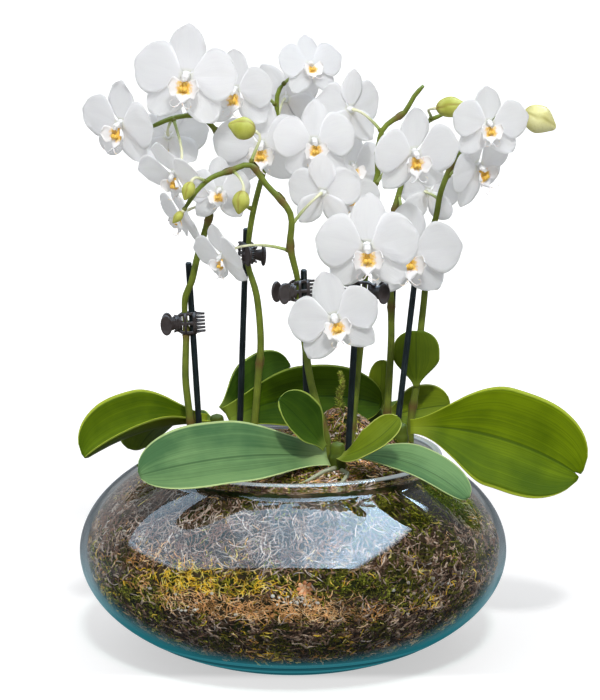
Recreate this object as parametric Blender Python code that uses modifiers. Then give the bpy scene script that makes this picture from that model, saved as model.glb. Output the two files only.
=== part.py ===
"""A wide glass bowl of moss planted with moth orchids on six staked flower spikes.

Sizes and places are in millimetres and become Blender's metres in mm(). The origin is the
centre of the bowl's base, +Z is up, and the front of the arrangement faces -Y.
"""

import math
import random
from dataclasses import dataclass

import bmesh
import bpy
from mathutils import Matrix, Vector, noise

# Bowl
BOWL_RADIUS = 165.0
BELLY_HALF_HEIGHT = 90.0
BASE_RADIUS = 66.0
WALL = 5.0
BASE_THICKNESS = 12.0
NECK_INNER_RADIUS = 108.5
NECK_OUTER_RADIUS = 113.0
LIP_RADIUS = 3.2
LIP_HEIGHT = 155.0
TURNING_STEPS = 36
BELLY_HEIGHT = BELLY_HALF_HEIGHT * math.sqrt(1 - (BASE_RADIUS / BOWL_RADIUS) ** 2)

# Fits
GAP = 0.3

# Edges bent by more degrees than this stay sharp
SHARP_ANGLE = 50.0

# Moss
MOSS_EDGE_HEIGHT = 149.0
MOSS_DOME = 14.0
MOSS_MOUNDS = (((38, 6), 28, 20), ((84, 26), 9, 20), ((-58, 30), 7, 24), ((10, -40), 4, 20))
MOSS_ROUGHNESS = 3.0

# Stakes, stems and clips
STAKE_RADIUS = 2.4
STAKE_FOOT_HEIGHT = 70.0
STEM_RADIUS = 2.2
STEM_TIP_RADIUS = 1.3
STEM_FOOT_HEIGHT = 138.0
STEM_BEND_HEIGHT = 172.0
PEDICEL_RADIUS = 1.1
ROUND_SIDES = 8
TIED_SPACING = STEM_RADIUS + STAKE_RADIUS + 0.8
CLIP_REACH = 9.0
CLIP_THICKNESS = 1.5
CLIP_PIN_AT = -9.0
CLIP_PIN_RADIUS = 2.7
CLIP_PIN_LENGTH = 10.8

# One jaw of a clip: distance along it from the middle of the grip, half the gap, half the height
CLIP_JAW = ((-18.5, 6.4, 6.0), (-14.5, 6.0, 7.5), (-9, 2.4, 6.0), (-5.6, 3.15, 8.0), (0, 3.6, 8.5),
            (5.6, 3.3, 8.5), (10.4, 1.5, 8.0), (12.5, 1.3, 8.0))
CLIP_SLOT_AT = 11.5
CLIP_SLOT_SIZE = (5.0, 12.0, 1.8)
CLIP_SLOT_HEIGHTS = (-3.0, 3.0)

# Crowns
CROWN_RADIUS = 7.5
CROWN_SIDES = 16
CROWN_FOOT_HEIGHT = 136.0
CROWN_TOP_HEIGHT = 177.0

# Height above all of the moss, where the tools that cut its holes end
HOLE_TOP_HEIGHT = 215.0

# Leaves and blooms
LEAF_THICKNESS = 1.8
TEPAL_THICKNESS = 1.0
BLOOM_WIDTH = 62.0
HUB_RADIUS = 3.6
HUB_BACK = 3.2
HUB_FRONT = 2.4

# Colours as linear red, green and blue
GLASS_COLOUR = (0.55, 0.80, 0.80)
MOSS_COLOUR = (0.12, 0.11, 0.04)
STAKE_COLOUR = (0.01, 0.02, 0.02)
CLIP_COLOUR = (0.06, 0.04, 0.04)
STEM_COLOUR = (0.22, 0.28, 0.04)
CROWN_COLOUR = (0.16, 0.22, 0.05)
LEAF_COLOUR = (0.10, 0.24, 0.03)
BLOOM_COLOUR = (0.86, 0.86, 0.85)


@dataclass
class Leaf:
    """A strap leaf that leaves its crown at a heading and bends along its length. Angles in degrees."""

    name: str
    crown: str
    height: float
    heading: float
    rise: float
    droop: float
    length: float
    width: float
    bank: float
    fold: float = 12.0
    sweep: float = 0.0
    neck: float = 0.26
    stand_off: float = 0.0


@dataclass
class Bud:
    """A closed bud on its own short stalk, from the stem point nearest to joins."""

    centre: tuple
    joins: tuple
    axis: tuple
    length: float
    width: float


@dataclass
class Spike:
    """A flower stem tied to its stake: the route's points below the clip, and those above it."""

    name: str
    stake_at: tuple
    stake_head: tuple
    foot: tuple
    below: tuple
    clip_height: float
    tied_heading: float
    above: tuple
    buds: tuple = ()


@dataclass
class Bloom:
    """An open flower: its hub's place, the way it faces, and the stem point that its stalk leaves."""

    name: str
    spike: str
    centre: tuple
    heading: float
    pitch: float
    joins: tuple
    width: float = BLOOM_WIDTH
    roll: float = 0.0


CROWNS = {
    "front": (33, -60),
    "left": (-60, 42),
    "right": (83, 9),
    "back": (66, 71),
}

# A young side shoot's leaf grows from this place on the sixth stem.
SIDE_SHOOT = (97, 43)

LEAVES = (
    Leaf("leaf_01", "front", 167, 197, 9, -22, 144, 65, -33, neck=0.34),
    Leaf("leaf_02", "front", 168, -22, 10, -50, 100, 44, 13),
    Leaf("leaf_03", "front", 174, 205, 52, -10, 55, 38, -62, fold=22, neck=0.16, stand_off=2.0),
    Leaf("leaf_04", "front", 169, -72, 12, 42, 68, 31, 42, fold=16, sweep=76),
    Leaf("leaf_05", "right", 175, -7, 3, -37, 138, 80, 72, neck=0.14),
    Leaf("leaf_06", "left", 172, 204, 8, -38, 106, 64, -22, fold=48, neck=0.2),
    Leaf("leaf_07", "left", 177, 30, 42, -28, 68, 47, 65, neck=0.36),
    Leaf("leaf_08", "left", 174, 7, 25, -43, 126, 50, 70, neck=0.4, stand_off=0.6),
    Leaf("leaf_09", "back", 172, 70, 76, 6, 42, 20, 5),
    Leaf("leaf_10", "side", 200, -96, 84, 0, 46, 37, 0, neck=0.12),
    Leaf("leaf_11", "back", 170, -10, 18, -10, 52, 38, 62, fold=18, stand_off=1.2),
    Leaf("leaf_12", "left", 168, 128, 10, -62, 118, 56, 5),
    Leaf("leaf_13", "back", 168, 78, 16, -70, 124, 58, -5),
)

SPIKES = (
    Spike(
        "a", (-72, 12), (-80, 12, 303), (-79, 12), ((-83, 11, 215),), 256, 0,
        ((-82, 5, 278), (-77, 1, 290), (-72, -3, 311), (-64, -5, 337), (-59, 0, 360), (-54, 5, 381),
         (-56, 5, 399), (-64, 1, 411), (-75, -5, 416), (-91, -10, 414), (-106, -15, 408)),
    ),
    Spike(
        "b", (-42, 30), (-36, 30, 327), (-30, 20), ((-27, 22, 212), (-25, 22, 240), (-28, 23, 275)), 308, 115,
        ((-31, 24, 338), (-25, 27, 362), (-19, 32, 381), (-13, 36, 403), (-12, 38, 428), (-8, 40, 436)),
    ),
    Spike(
        "c", (11, -35), (8, -35, 304), (26, -48), ((22, -50, 190), (13, -47, 222), (8, -42, 255)), 288, 27,
        ((-2, -43, 322), (-2, -46, 347), (-20, -48, 369), (-31, -50, 383), (-46, -52, 379), (-60, -55, 374),
         (-71, -58, 364), (-79, -60, 352)),
        (
            Bud((-37, -49, 410), (-31, -50, 383), (-0.9, 0, 0.25), 20, 17),
            Bud((-76, -67, 366), (-64, -56, 372), (-0.35, -0.2, -0.9), 14, 10),
            Bud((-38, -60, 357), (-44, -52, 379), (-0.2, -0.1, -0.95), 17, 13),
            Bud((-84, -61, 346), (-79, -60, 352), (-0.6, 0, -0.7), 11, 6.5),
        ),
    ),
    Spike(
        "d", (41, -45), (48, -45, 298), (43, -38), ((45, -36, 190), (50, -39, 245)), 289, 180,
        ((57, -38, 316), (58, -18, 342), (61, -3, 360), (64, 0, 372), (64, 0, 387), (67, 0, 404),
         (75, 0, 412), (84, 0, 418), (91, 0, 430), (98, 0, 438)),
    ),
    Spike(
        "e", (75, 55), (80, 53, 322), (74, 43), ((77, 43, 240), (76, 45, 280)), 308, 45,
        ((78, 48, 334), (84, 54, 356), (92, 62, 384), (103, 68, 404), (118, 66, 412)),
        (Bud((121, 30, 420), (108, 68, 407), (0.9, -0.35, 0.1), 24, 16),),
    ),
    Spike(
        "f", (80, 22), (99, 36, 325), (93, 43), ((97, 43, 200), (100, 43, 244), (103, 42, 278)), 309, 180,
        ((110, 31, 334), (114, 29, 356), (125, 32, 380), (146, 43, 404), (167, 41, 416)),
        (Bud((189, 34, 410), (167, 41, 416), (0.85, 0, -0.45), 27, 22),),
    ),
)

BLOOMS = (
    Bloom("bloom_01", "a", (-128, -24, 411), -36, -12, (-106, -15, 408), width=68, roll=-8),
    Bloom("bloom_02", "a", (-78, -40, 447), -6, -4, (-77, -6, 416), width=76, roll=-8),
    Bloom("bloom_03", "b", (-43, -12, 435), -20, -6, (-12, 37, 420), width=63),
    Bloom("bloom_04", "b", (-24, -8, 394), -2, -8, (-19, 32, 381), width=70),
    Bloom("bloom_05", "b", (13, 30, 452), 18, 24, (-8, 40, 436), width=52),
    Bloom("bloom_06", "b", (16, -22, 398), 8, -4, (-13, 36, 403)),
    Bloom("bloom_07", "d", (43, 8, 420), -140, 4, (67, 0, 403)),
    Bloom("bloom_08", "c", (22, -40, 362), 160, 8, (-2, -45, 336), width=58),
    Bloom("bloom_09", "d", (45, -21, 358), -30, -10, (60, -5, 354), width=46),
    Bloom("bloom_10", "e", (46, 40, 374), 20, 6, (86, 56, 364), width=54),
    Bloom("bloom_11", "d", (90, -30, 390), 20, -12, (62, -2, 362), width=68),
    Bloom("bloom_12", "f", (141, 13, 376), 44, -14, (119, 29, 366), width=66, roll=28),
    Bloom("bloom_13", "f", (147, -8, 410), 10, 2, (148, 42, 404), width=58),
    Bloom("bloom_14", "d", (54, -68, 325), 2, -10, (58, -14, 338), width=76),
    Bloom("bloom_15", "e", (88, 2, 312), 2, -8, (82, 52, 350), width=80),
    Bloom("bloom_16", "d", (30, -84, 275), 4, 0, (58, -24, 332), width=68, roll=14),
    Bloom("bloom_17", "c", (-53, -36, 314), -46, -24, (-2, -43, 318), width=52),
    Bloom("bloom_18", "b", (-85, -4, 342), -64, -22, (-30, 24, 342), width=52),
    Bloom("bloom_19", "a", (-55, -20, 361), -10, 8, (-63, -4, 346), width=50),
    Bloom("bloom_20", "a", (-88, -35, 375), -40, -36, (-89, -10, 414), width=60),
    Bloom("bloom_21", "b", (-6, 64, 424), 172, 0, (-13, 36, 404), width=62, roll=-30),
    Bloom("bloom_22", "f", (106, 58, 352), 150, -6, (113, 28, 348), width=54),
    Bloom("bloom_23", "a", (-94, 8, 399), 175, -30, (-90, -10, 414), width=60),
)


def mm(*values):
    """A point given in millimetres, in Blender's metres."""
    return Vector(values if len(values) > 1 else values[0]) / 1000.0


def clear_scene():
    for old in list(bpy.data.objects):
        bpy.data.objects.remove(old)


def make_material(name, colour, roughness, transmission=0.0):
    material = bpy.data.materials.new(name)
    material.use_nodes = True
    shader = material.node_tree.nodes["Principled BSDF"]
    shader.inputs["Base Color"].default_value = (*colour, 1.0)
    shader.inputs["Roughness"].default_value = roughness
    shader.inputs["Transmission Weight"].default_value = transmission
    return material


def add_object(name, data, collection, material=None):
    made = bpy.data.objects.new(name, data)
    collection.objects.link(made)
    if material and data is not None:
        data.materials.append(material)
    return made


def mesh_of(source):
    """The evaluated mesh of an object, with its transform applied and a curve's caps welded."""
    graph = bpy.context.evaluated_depsgraph_get()
    graph.update()
    mesh = bpy.data.meshes.new_from_object(source.evaluated_get(graph))
    shape = bmesh.new()
    shape.from_mesh(mesh)
    bmesh.ops.remove_doubles(shape, verts=shape.verts, dist=1e-6)
    bmesh.ops.transform(shape, matrix=source.matrix_world, verts=shape.verts)
    shape.to_mesh(mesh)
    shape.free()
    return mesh


def combine(target, others, operation):
    """Joins other objects into target, or cuts them from it, by one Boolean, and removes them."""
    group = bpy.data.collections.new(target.name + "_others")
    bpy.context.scene.collection.children.link(group)
    for other in others:
        for holder in list(other.users_collection):
            holder.objects.unlink(other)
        group.objects.link(other)
    modifier = target.modifiers.new("Combine", "BOOLEAN")
    modifier.operation = operation
    modifier.operand_type = "COLLECTION"
    modifier.collection = group
    modifier.solver = "MANIFOLD"
    result = mesh_of(target)
    target.modifiers.clear()
    target.matrix_world = Matrix.Identity(4)
    materials = [slot.material for slot in target.material_slots]
    target.data = result
    result.materials.clear()
    for material in materials:
        result.materials.append(material)
    for other in others:
        bpy.data.objects.remove(other)
    bpy.data.collections.remove(group)
    return target


def turned(name, profile, collection, material):
    """A solid of revolution about Z from (radius, height) points that end on the axis."""
    mesh = bpy.data.meshes.new(name)
    points = [mm(radius, 0, height) for radius, height in profile]
    mesh.from_pydata(points, [(i, i + 1) for i in range(len(points) - 1)], [])
    made = add_object(name, mesh, collection, material)
    screw = made.modifiers.new("Turn", "SCREW")
    screw.steps = screw.render_steps = TURNING_STEPS
    screw.use_merge_vertices = True
    screw.merge_threshold = 0.00005
    return made


def cylinder(name, start, end, radius, sides, collection, material=None, end_radius=None):
    """A straight round bar or cone between two points in millimetres."""
    start, end = mm(start), mm(end)
    shape = bmesh.new()
    bmesh.ops.create_cone(
        shape,
        cap_ends=True,
        segments=sides,
        radius1=radius / 1000.0,
        radius2=(radius if end_radius is None else end_radius) / 1000.0,
        depth=(end - start).length,
    )
    mesh = bpy.data.meshes.new(name)
    shape.to_mesh(mesh)
    shape.free()
    made = add_object(name, mesh, collection, material)
    turn = (end - start).to_track_quat("Z", "Y").to_matrix().to_4x4()
    made.matrix_world = Matrix.Translation((start + end) / 2) @ turn
    return made


def smooth_route(points, spacing):
    """Points about spacing apart on a smooth curve through the given points (Catmull-Rom)."""
    points = [Vector(point) for point in points]
    padded = [2 * points[0] - points[1], *points, 2 * points[-1] - points[-2]]
    route = []
    for p0, p1, p2, p3 in zip(padded, padded[1:], padded[2:], padded[3:]):
        steps = max(1, round((p2 - p1).length / spacing))
        for step in range(steps):
            t = step / steps
            route.append(
                0.5 * (2 * p1 + (p2 - p0) * t + (2 * p0 - 5 * p1 + 4 * p2 - p3) * t**2
                       + (3 * p1 - p0 - 3 * p2 + p3) * t**3)
            )
    route.append(points[-1])
    return route


def tube(name, route, radii, sides_level, collection, material=None):
    """A bent round bar along a route, with one radius for each point."""
    curve = bpy.data.curves.new(name, "CURVE")
    curve.dimensions = "3D"
    curve.bevel_depth = 0.001
    curve.bevel_resolution = sides_level
    curve.use_fill_caps = True
    spline = curve.splines.new("POLY")
    spline.points.add(len(route) - 1)
    for knot, point, radius in zip(spline.points, route, radii):
        knot.co = (*mm(point), 1)
        knot.radius = radius
    made = add_object(name, curve, collection, material)
    mesh = mesh_of(made)
    bpy.data.objects.remove(made)
    if material:
        mesh.materials.append(material)
    return add_object(name, mesh, collection)


def belly_arc(inset, low, high, count):
    """Points on the belly's ellipse, inset from the outside, from one height to another."""
    radius, half_height = BOWL_RADIUS - inset, BELLY_HALF_HEIGHT - inset
    first = math.asin((low - BELLY_HEIGHT) / half_height)
    last = math.asin((high - BELLY_HEIGHT) / half_height)
    angles = [first + (last - first) * step / (count - 1) for step in range(count)]
    return [(radius * math.cos(a), BELLY_HEIGHT + half_height * math.sin(a)) for a in angles]


def belly_height_at(radius, inset):
    """The height at which the upper belly, inset from the outside, has this radius."""
    share = radius / (BOWL_RADIUS - inset)
    return BELLY_HEIGHT + (BELLY_HALF_HEIGHT - inset) * math.sqrt(1 - share**2)


def build_bowl(collection):
    glass = make_material("recycled_glass", GLASS_COLOUR, 0.05, transmission=1.0)
    inner_top = belly_height_at(NECK_INNER_RADIUS, WALL)
    outer_top = belly_height_at(NECK_OUTER_RADIUS, 0)
    inner = belly_arc(WALL, BASE_THICKNESS, inner_top, 7)
    outer = belly_arc(0, 0, outer_top, 8)
    lip_centre = NECK_OUTER_RADIUS + GAP - LIP_RADIUS / 2
    lip = [
        (lip_centre + LIP_RADIUS * math.cos(a), LIP_HEIGHT + LIP_RADIUS * math.sin(a))
        for a in map(math.radians, (170, 115, 65, 10, -45))
    ]
    profile = [(0, BASE_THICKNESS), *inner, *lip, *reversed(outer), (0, 0)]
    return turned("glass_bowl", profile, collection, glass)


def moss_height(x, y):
    """The height of the moss at a place inside the bowl's mouth."""
    share = min(1.0, math.hypot(x, y) / NECK_INNER_RADIUS)
    height = MOSS_EDGE_HEIGHT + MOSS_DOME * (1 - share**2)
    swell = sum(
        rise * math.exp(-((x - cx) ** 2 + (y - cy) ** 2) / (2 * spread**2))
        for (cx, cy), rise, spread in MOSS_MOUNDS
    )
    swell += MOSS_ROUGHNESS * noise.noise(Vector((x, y, 0)) / 14.0)
    return height + swell * (1 - share**8)


def build_moss(collection, bars):
    """The moss body: it follows the glass inside, swells in mounds on top, and has plain holes."""
    moss = make_material("moss", MOSS_COLOUR, 0.9)
    inner_top = belly_height_at(NECK_INNER_RADIUS, WALL)
    side = belly_arc(WALL + GAP, BASE_THICKNESS + GAP, inner_top - GAP, 7)
    edge_radius = NECK_INNER_RADIUS - GAP
    rings = [edge_radius * share for share in (0.91, 0.78, 0.64, 0.5, 0.36, 0.22, 0.1)]
    top = [(edge_radius, MOSS_EDGE_HEIGHT), *[(radius, MOSS_EDGE_HEIGHT + 4) for radius in rings]]
    profile = [(0, MOSS_EDGE_HEIGHT + 4), *reversed(top), *reversed(side), (0, BASE_THICKNESS + GAP)]
    shaped = turned("moss_profile", profile, collection, moss)
    body = add_object("moss", mesh_of(shaped), collection)
    bpy.data.objects.remove(shaped)
    for vertex in body.data.vertices:
        if vertex.co.z * 1000 > MOSS_EDGE_HEIGHT + 1:
            vertex.co.z = moss_height(vertex.co.x * 1000, vertex.co.y * 1000) / 1000
    cutters = []
    for number, (foot, head, radius, sides) in enumerate(bars):
        foot, head = Vector(foot), Vector(head)
        along = (head - foot).normalized()
        wide = (radius + GAP) / math.cos(math.pi / sides)
        cutters.append(
            cylinder(f"hole_{number}", foot - along * GAP, head, wide, sides, collection)
        )
    return combine(body, cutters, "DIFFERENCE")


def stake_line(spike):
    """The stake's foot and head. It is straight, so its foot follows from where it meets the moss."""
    head = Vector(spike.stake_head)
    entry = Vector((*spike.stake_at, 160.0))
    along = (head - entry) / (head.z - entry.z)
    return head + along * (STAKE_FOOT_HEIGHT - head.z), head


def clip_place(spike):
    """The clip's matrix in millimetres: X runs from stem to stake, Z up the stake, origin between them."""
    foot, head = stake_line(spike)
    up = (head - foot).normalized()
    on_stake = foot + up * ((spike.clip_height - foot.z) / up.z)
    heading = math.radians(spike.tied_heading)
    across = Vector((math.cos(heading), math.sin(heading), 0))
    across = (across - up * across.dot(up)).normalized()
    centre = on_stake - across * (TIED_SPACING / 2)
    turn = Matrix((across, up.cross(across), up)).transposed().to_4x4()
    return Matrix.Translation(centre) @ turn


def stem_route(spike):
    """The flower stem from its foot in the moss, through its clip, to its tip."""
    tied = clip_place(spike)
    in_clip = [tied @ Vector((-TIED_SPACING / 2, 0, z)) for z in (-CLIP_REACH, CLIP_REACH)]
    foot = Vector((*spike.foot, STEM_FOOT_HEIGHT))
    bend = Vector((*spike.foot, STEM_BEND_HEIGHT))
    free = smooth_route([bend, *spike.below, *in_clip, *spike.above], 24.0)
    return [foot, *free]


def stem_radii(route):
    """Radii that taper to the tip."""
    last = len(route) - 1
    return [STEM_RADIUS + (STEM_TIP_RADIUS - STEM_RADIUS) * (i / last) ** 2 for i in range(last + 1)]


def nearest_on(route, point):
    """The route's point nearest to a point, on the straight pieces between its knots."""
    point = Vector(point)
    best = None
    for start, end in zip(route, route[1:]):
        piece = end - start
        share = max(0.0, min(1.0, (point - start).dot(piece) / piece.length_squared))
        found = start + piece * share
        if best is None or (found - point).length < (best - point).length:
            best = found
    return best


def stalk_route(start, end, arrival, pieces=3):
    """A short curved stalk from the stem to the back of a bloom or bud, arriving along arrival."""
    end, seat = end - arrival.normalized() * 2.0, end
    reach = (end - start).length
    leave = start + (end - start).normalized() * reach * 0.3 + Vector((0, 0, reach * 0.12))
    meet = end - arrival.normalized() * reach * 0.35
    route = []
    for piece in range(pieces + 1):
        t = piece / pieces
        route.append(
            start * (1 - t) ** 3 + leave * 3 * t * (1 - t) ** 2 + meet * 3 * t**2 * (1 - t) + end * t**3
        )
    return [*route, seat]


def bloom_place(bloom):
    """The bloom's matrix in metres: X right and Y up in the flower's face, Z the way it faces."""
    heading, pitch = math.radians(bloom.heading), math.radians(bloom.pitch)
    forward = Vector(
        (math.sin(heading) * math.cos(pitch), -math.cos(heading) * math.cos(pitch), math.sin(pitch))
    )
    right = Vector((0, 0, 1)).cross(forward).normalized()
    turn = Matrix((right, forward.cross(right), forward)).transposed().to_4x4()
    return Matrix.Translation(mm(bloom.centre)) @ turn @ Matrix.Rotation(math.radians(bloom.roll), 4, "Z")


def build_bud(name, bud, collection):
    """A pointed oval bud."""
    shape = bmesh.new()
    bmesh.ops.create_uvsphere(shape, u_segments=8, v_segments=6, radius=0.5)
    for vertex in shape.verts:
        height = vertex.co.z + 0.5
        pinch = 1 - 0.35 * max(0.0, height - 0.5) / 0.5
        vertex.co = Vector((vertex.co.x * bud.width * pinch, vertex.co.y * bud.width * pinch, 0)) + Vector(
            (0, 0, (height - 0.5) * bud.length)
        )
        vertex.co /= 1000.0
    mesh = bpy.data.meshes.new(name)
    shape.to_mesh(mesh)
    shape.free()
    made = add_object(name, mesh, collection)
    turn = Vector(bud.axis).to_track_quat("Z", "Y").to_matrix().to_4x4()
    made.matrix_world = Matrix.Translation(mm(bud.centre)) @ turn
    return made


def build_spike(spike, blooms, collection, material):
    """One flower stem with the stalks of its blooms and its buds, all one body."""
    route = stem_route(spike)
    stem = tube("spike_" + spike.name, route, stem_radii(route), 1, collection, material)
    pieces = []
    for bloom in blooms:
        place = bloom_place(bloom)
        scale = bloom.width / BLOOM_WIDTH
        seat = place @ mm(0, 0, -(HUB_BACK * scale + GAP))
        start = nearest_on(route, bloom.joins)
        forward = place.to_3x3() @ Vector((0, 0, 1))
        stalk = stalk_route(start, seat * 1000.0, forward)
        radii = [PEDICEL_RADIUS] * (len(stalk) - 1) + [PEDICEL_RADIUS * 1.3]
        pieces.append(tube("stalk", stalk, radii, 0, collection))
    for bud in spike.buds:
        axis = Vector(bud.axis).normalized()
        base = Vector(bud.centre) - axis * bud.length * 0.42
        start = nearest_on(route, bud.joins)
        stalk = stalk_route(start, base, axis, pieces=2)
        pieces.append(tube("stalk", stalk, [PEDICEL_RADIUS] * len(stalk), 0, collection))
        pieces.append(build_bud("bud", bud, collection))
    return combine(stem, pieces, "UNION") if pieces else stem


def blade(name, rows, columns, shape_at, thickness, collection):
    """A thin curved blade: a grid whose (along, across) points are moved by shape_at, then thickened."""
    shape = bmesh.new()
    bmesh.ops.create_grid(shape, x_segments=rows, y_segments=columns, size=1.0)
    for vertex in shape.verts:
        vertex.co = mm(shape_at((vertex.co.x + 1) / 2, vertex.co.y))
    bmesh.ops.triangulate(shape, faces=shape.faces)
    mesh = bpy.data.meshes.new(name)
    shape.to_mesh(mesh)
    shape.free()
    made = add_object(name, mesh, collection)
    solidify = made.modifiers.new("Thickness", "SOLIDIFY")
    solidify.thickness = thickness / 1000.0
    solidify.offset = 0.0
    return made


def leaf_line(leaf, steps=40):
    """The leaf's midrib as points with their directions, from the crown's side to the tip."""
    on_stem = leaf.crown == "side"
    x, y = SIDE_SHOOT if on_stem else CROWNS[leaf.crown]
    heading = math.radians(leaf.heading)
    clear = STEM_RADIUS if on_stem else CROWN_RADIUS
    clear += GAP + LEAF_THICKNESS * abs(math.sin(math.radians(leaf.rise))) / 2 + leaf.stand_off
    point = Vector((x + math.cos(heading) * clear, y + math.sin(heading) * clear, leaf.height))
    line = []
    for step in range(steps + 1):
        t = step / steps
        pitch = math.radians(leaf.rise + leaf.droop * t)
        turn = heading + math.radians(leaf.sweep * t)
        along = Vector((math.cos(turn) * math.cos(pitch), math.sin(turn) * math.cos(pitch), math.sin(pitch)))
        line.append((point.copy(), along))
        point += along * (leaf.length / steps)
    return line


def leaf_half_width(leaf, t):
    """Half the blade's width: a narrow neck, the widest part past the middle and a round tip."""
    swell = min(1.0, t / 0.5)
    body = leaf.neck + (1 - leaf.neck) * (swell * swell * (3 - 2 * swell))
    tip = max(0.0, (t - 0.6) / 0.4)
    return leaf.width / 2 * body * math.sqrt(1 - 0.96 * tip**2.4)


def leaf_point(leaf, line, t, across):
    """A point of the leaf's blade, t along the midrib and across from -1 to 1."""
    place = t * (len(line) - 1)
    index = min(int(place), len(line) - 2)
    start, along = line[index]
    end = line[index + 1][0]
    middle = start.lerp(end, place - index)
    level = Vector((0, 0, 1)).cross(along).normalized()
    bank = math.radians(leaf.bank)
    side = level * math.cos(bank) + along.cross(level) * math.sin(bank)
    normal = along.cross(side)
    half = leaf_half_width(leaf, t)
    fold = math.radians(leaf.fold)
    lift = abs(across) ** 1.4 * math.sin(fold) * half
    return middle + side * (across * half * math.cos(fold)) + normal * lift


def build_leaf(leaf, collection, material):
    line = leaf_line(leaf)
    made = blade(
        leaf.name, 6, 4, lambda t, across: leaf_point(leaf, line, t, across), LEAF_THICKNESS, collection
    )
    made.data.materials.append(material)
    return made


def tepal_point(degrees, length, width, shares, layer, cup, lift):
    """A function for one petal or sepal that grows out of the hub's side at an angle."""
    angle = math.radians(degrees)
    out = Vector((math.cos(angle), math.sin(angle), 0))
    side = Vector((-math.sin(angle), math.cos(angle), 0))

    def point(t, across):
        place = t * (len(shares) - 1)
        index = min(int(place), len(shares) - 2)
        share = shares[index] + (shares[index + 1] - shares[index]) * (place - index)
        reach = 2.2 + length * (t - 0.14 * t * t * across * across)
        height = layer + cup * across * across * t + lift * t * t
        return out * reach + side * (across * share * width / 2) + Vector((0, 0, height))

    return point


def middle_lobe(t, across):
    """The lip's middle lobe, which stands forward and curls down."""
    half = 1.3 + 4.2 * math.sin(math.pi * 0.8 * t)
    return (across * half, -1.4 - 8.5 * t + 3.0 * t * t, 1.4 + 12.0 * t - 1.4 * across * across * t)


def side_lobe(hand):
    """A function for one of the lip's two side lobes, which curve up round the column."""

    def point(t, across):
        half = 0.6 + 3.4 * t * (1.5 - t)
        return (hand * (2.2 + 5.4 * t - 1.8 * t * t), -0.9 + 4.6 * t * t + across * half, 1.4 + 8.5 * t)

    return point


def build_bloom(bloom, collection, material):
    """One flower: three sepals behind, two broad petals, a three-lobed lip and the column."""
    chance = random.Random(bloom.name)
    sepal_shares, petal_shares = (0.17, 1.0, 0.42), (0.1, 0.86, 1.0, 0.5)
    tepals = []
    for degrees, length, width in ((90, 27.5, 20), (228, 27.5, 19), (312, 27.5, 19)):
        lift = chance.uniform(-4.0, 0.5)
        tepals.append((2, tepal_point(degrees, length, width, sepal_shares, -1.3, 1.0, lift)))
    for degrees in (14, 166):
        lift = chance.uniform(1.0, 4.5)
        tepals.append((3, tepal_point(degrees, 28, 31, petal_shares, 1.0, -1.0, lift)))
    pieces = [blade("tepal", rows, 2, shape, TEPAL_THICKNESS, collection) for rows, shape in tepals]
    pieces.append(blade("lip", 2, 2, middle_lobe, TEPAL_THICKNESS, collection))
    for hand in (-1, 1):
        pieces.append(blade("side_lobe", 1, 1, side_lobe(hand), TEPAL_THICKNESS, collection))
    pieces.append(
        cylinder("column", (0, 0.9, 1.4), (0, 1.8, 8.0), 1.2, 5, collection, end_radius=2.0)
    )
    hub = cylinder(bloom.name, (0, 0, -HUB_BACK), (0, 0, HUB_FRONT), HUB_RADIUS, 5, collection)
    hub.data.transform(Matrix.Rotation(math.radians(36), 4, "Z"))
    combine(hub, pieces, "UNION")
    hub.data.transform(Matrix.Scale(bloom.width / BLOOM_WIDTH, 4))
    hub.data.materials.append(material)
    hub.matrix_world = bloom_place(bloom)
    return hub


def clip_shell(name, hand, collection):
    """One jaw of the spring clip: thumb pad, waist, and a round jaw that closes on the far side."""
    shape = bmesh.new()
    rails = []
    for share in (-1, 1):
        rails.append([shape.verts.new(mm(x, hand * y, share * z)) for x, y, z in CLIP_JAW])
    for i in range(len(CLIP_JAW) - 1):
        shape.faces.new((rails[0][i], rails[0][i + 1], rails[1][i + 1], rails[1][i]))
    bmesh.ops.triangulate(shape, faces=shape.faces)
    mesh = bpy.data.meshes.new(name)
    shape.to_mesh(mesh)
    shape.free()
    made = add_object(name, mesh, collection)
    solidify = made.modifiers.new("Thickness", "SOLIDIFY")
    solidify.thickness = CLIP_THICKNESS / 1000.0
    solidify.offset = 0.0
    return made


def box(name, centre, size, collection):
    shape = bmesh.new()
    bmesh.ops.create_cube(shape, size=1.0)
    bmesh.ops.scale(shape, vec=mm(size), verts=shape.verts)
    mesh = bpy.data.meshes.new(name)
    shape.to_mesh(mesh)
    shape.free()
    made = add_object(name, mesh, collection)
    made.location = mm(centre)
    return made


def build_clip(spike, collection, material):
    """A spring clip that holds one stem to its stake: two jaws on a pin, with combed tips."""
    name = "clip_" + spike.name
    shells = [clip_shell("shell", hand, collection) for hand in (-1, 1)]
    ends = [(CLIP_PIN_AT, 0, share * CLIP_PIN_LENGTH / 2) for share in (-1, 1)]
    pin = cylinder(name, *ends, CLIP_PIN_RADIUS, 6, collection)
    combine(pin, shells, "UNION")
    slots = [box("slot", (CLIP_SLOT_AT, 0, z), CLIP_SLOT_SIZE, collection) for z in CLIP_SLOT_HEIGHTS]
    combine(pin, slots, "DIFFERENCE")
    pin.data.materials.append(material)
    place = clip_place(spike)
    place.translation /= 1000.0
    pin.matrix_world = place
    return pin


def build_crown(name, place, collection, material):
    """A plant's short stem, which its leaves grow from."""
    foot, head = (*place, CROWN_FOOT_HEIGHT), (*place, CROWN_TOP_HEIGHT)
    return cylinder("crown_" + name, foot, head, CROWN_RADIUS, CROWN_SIDES, collection, material)


def shade_smooth(collection):
    """Smooth shading on every piece, with edges sharper than SHARP_ANGLE kept."""
    for made in collection.objects:
        made.data.shade_smooth()
        made.data.set_sharp_from_angle(angle=math.radians(SHARP_ANGLE))


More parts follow.
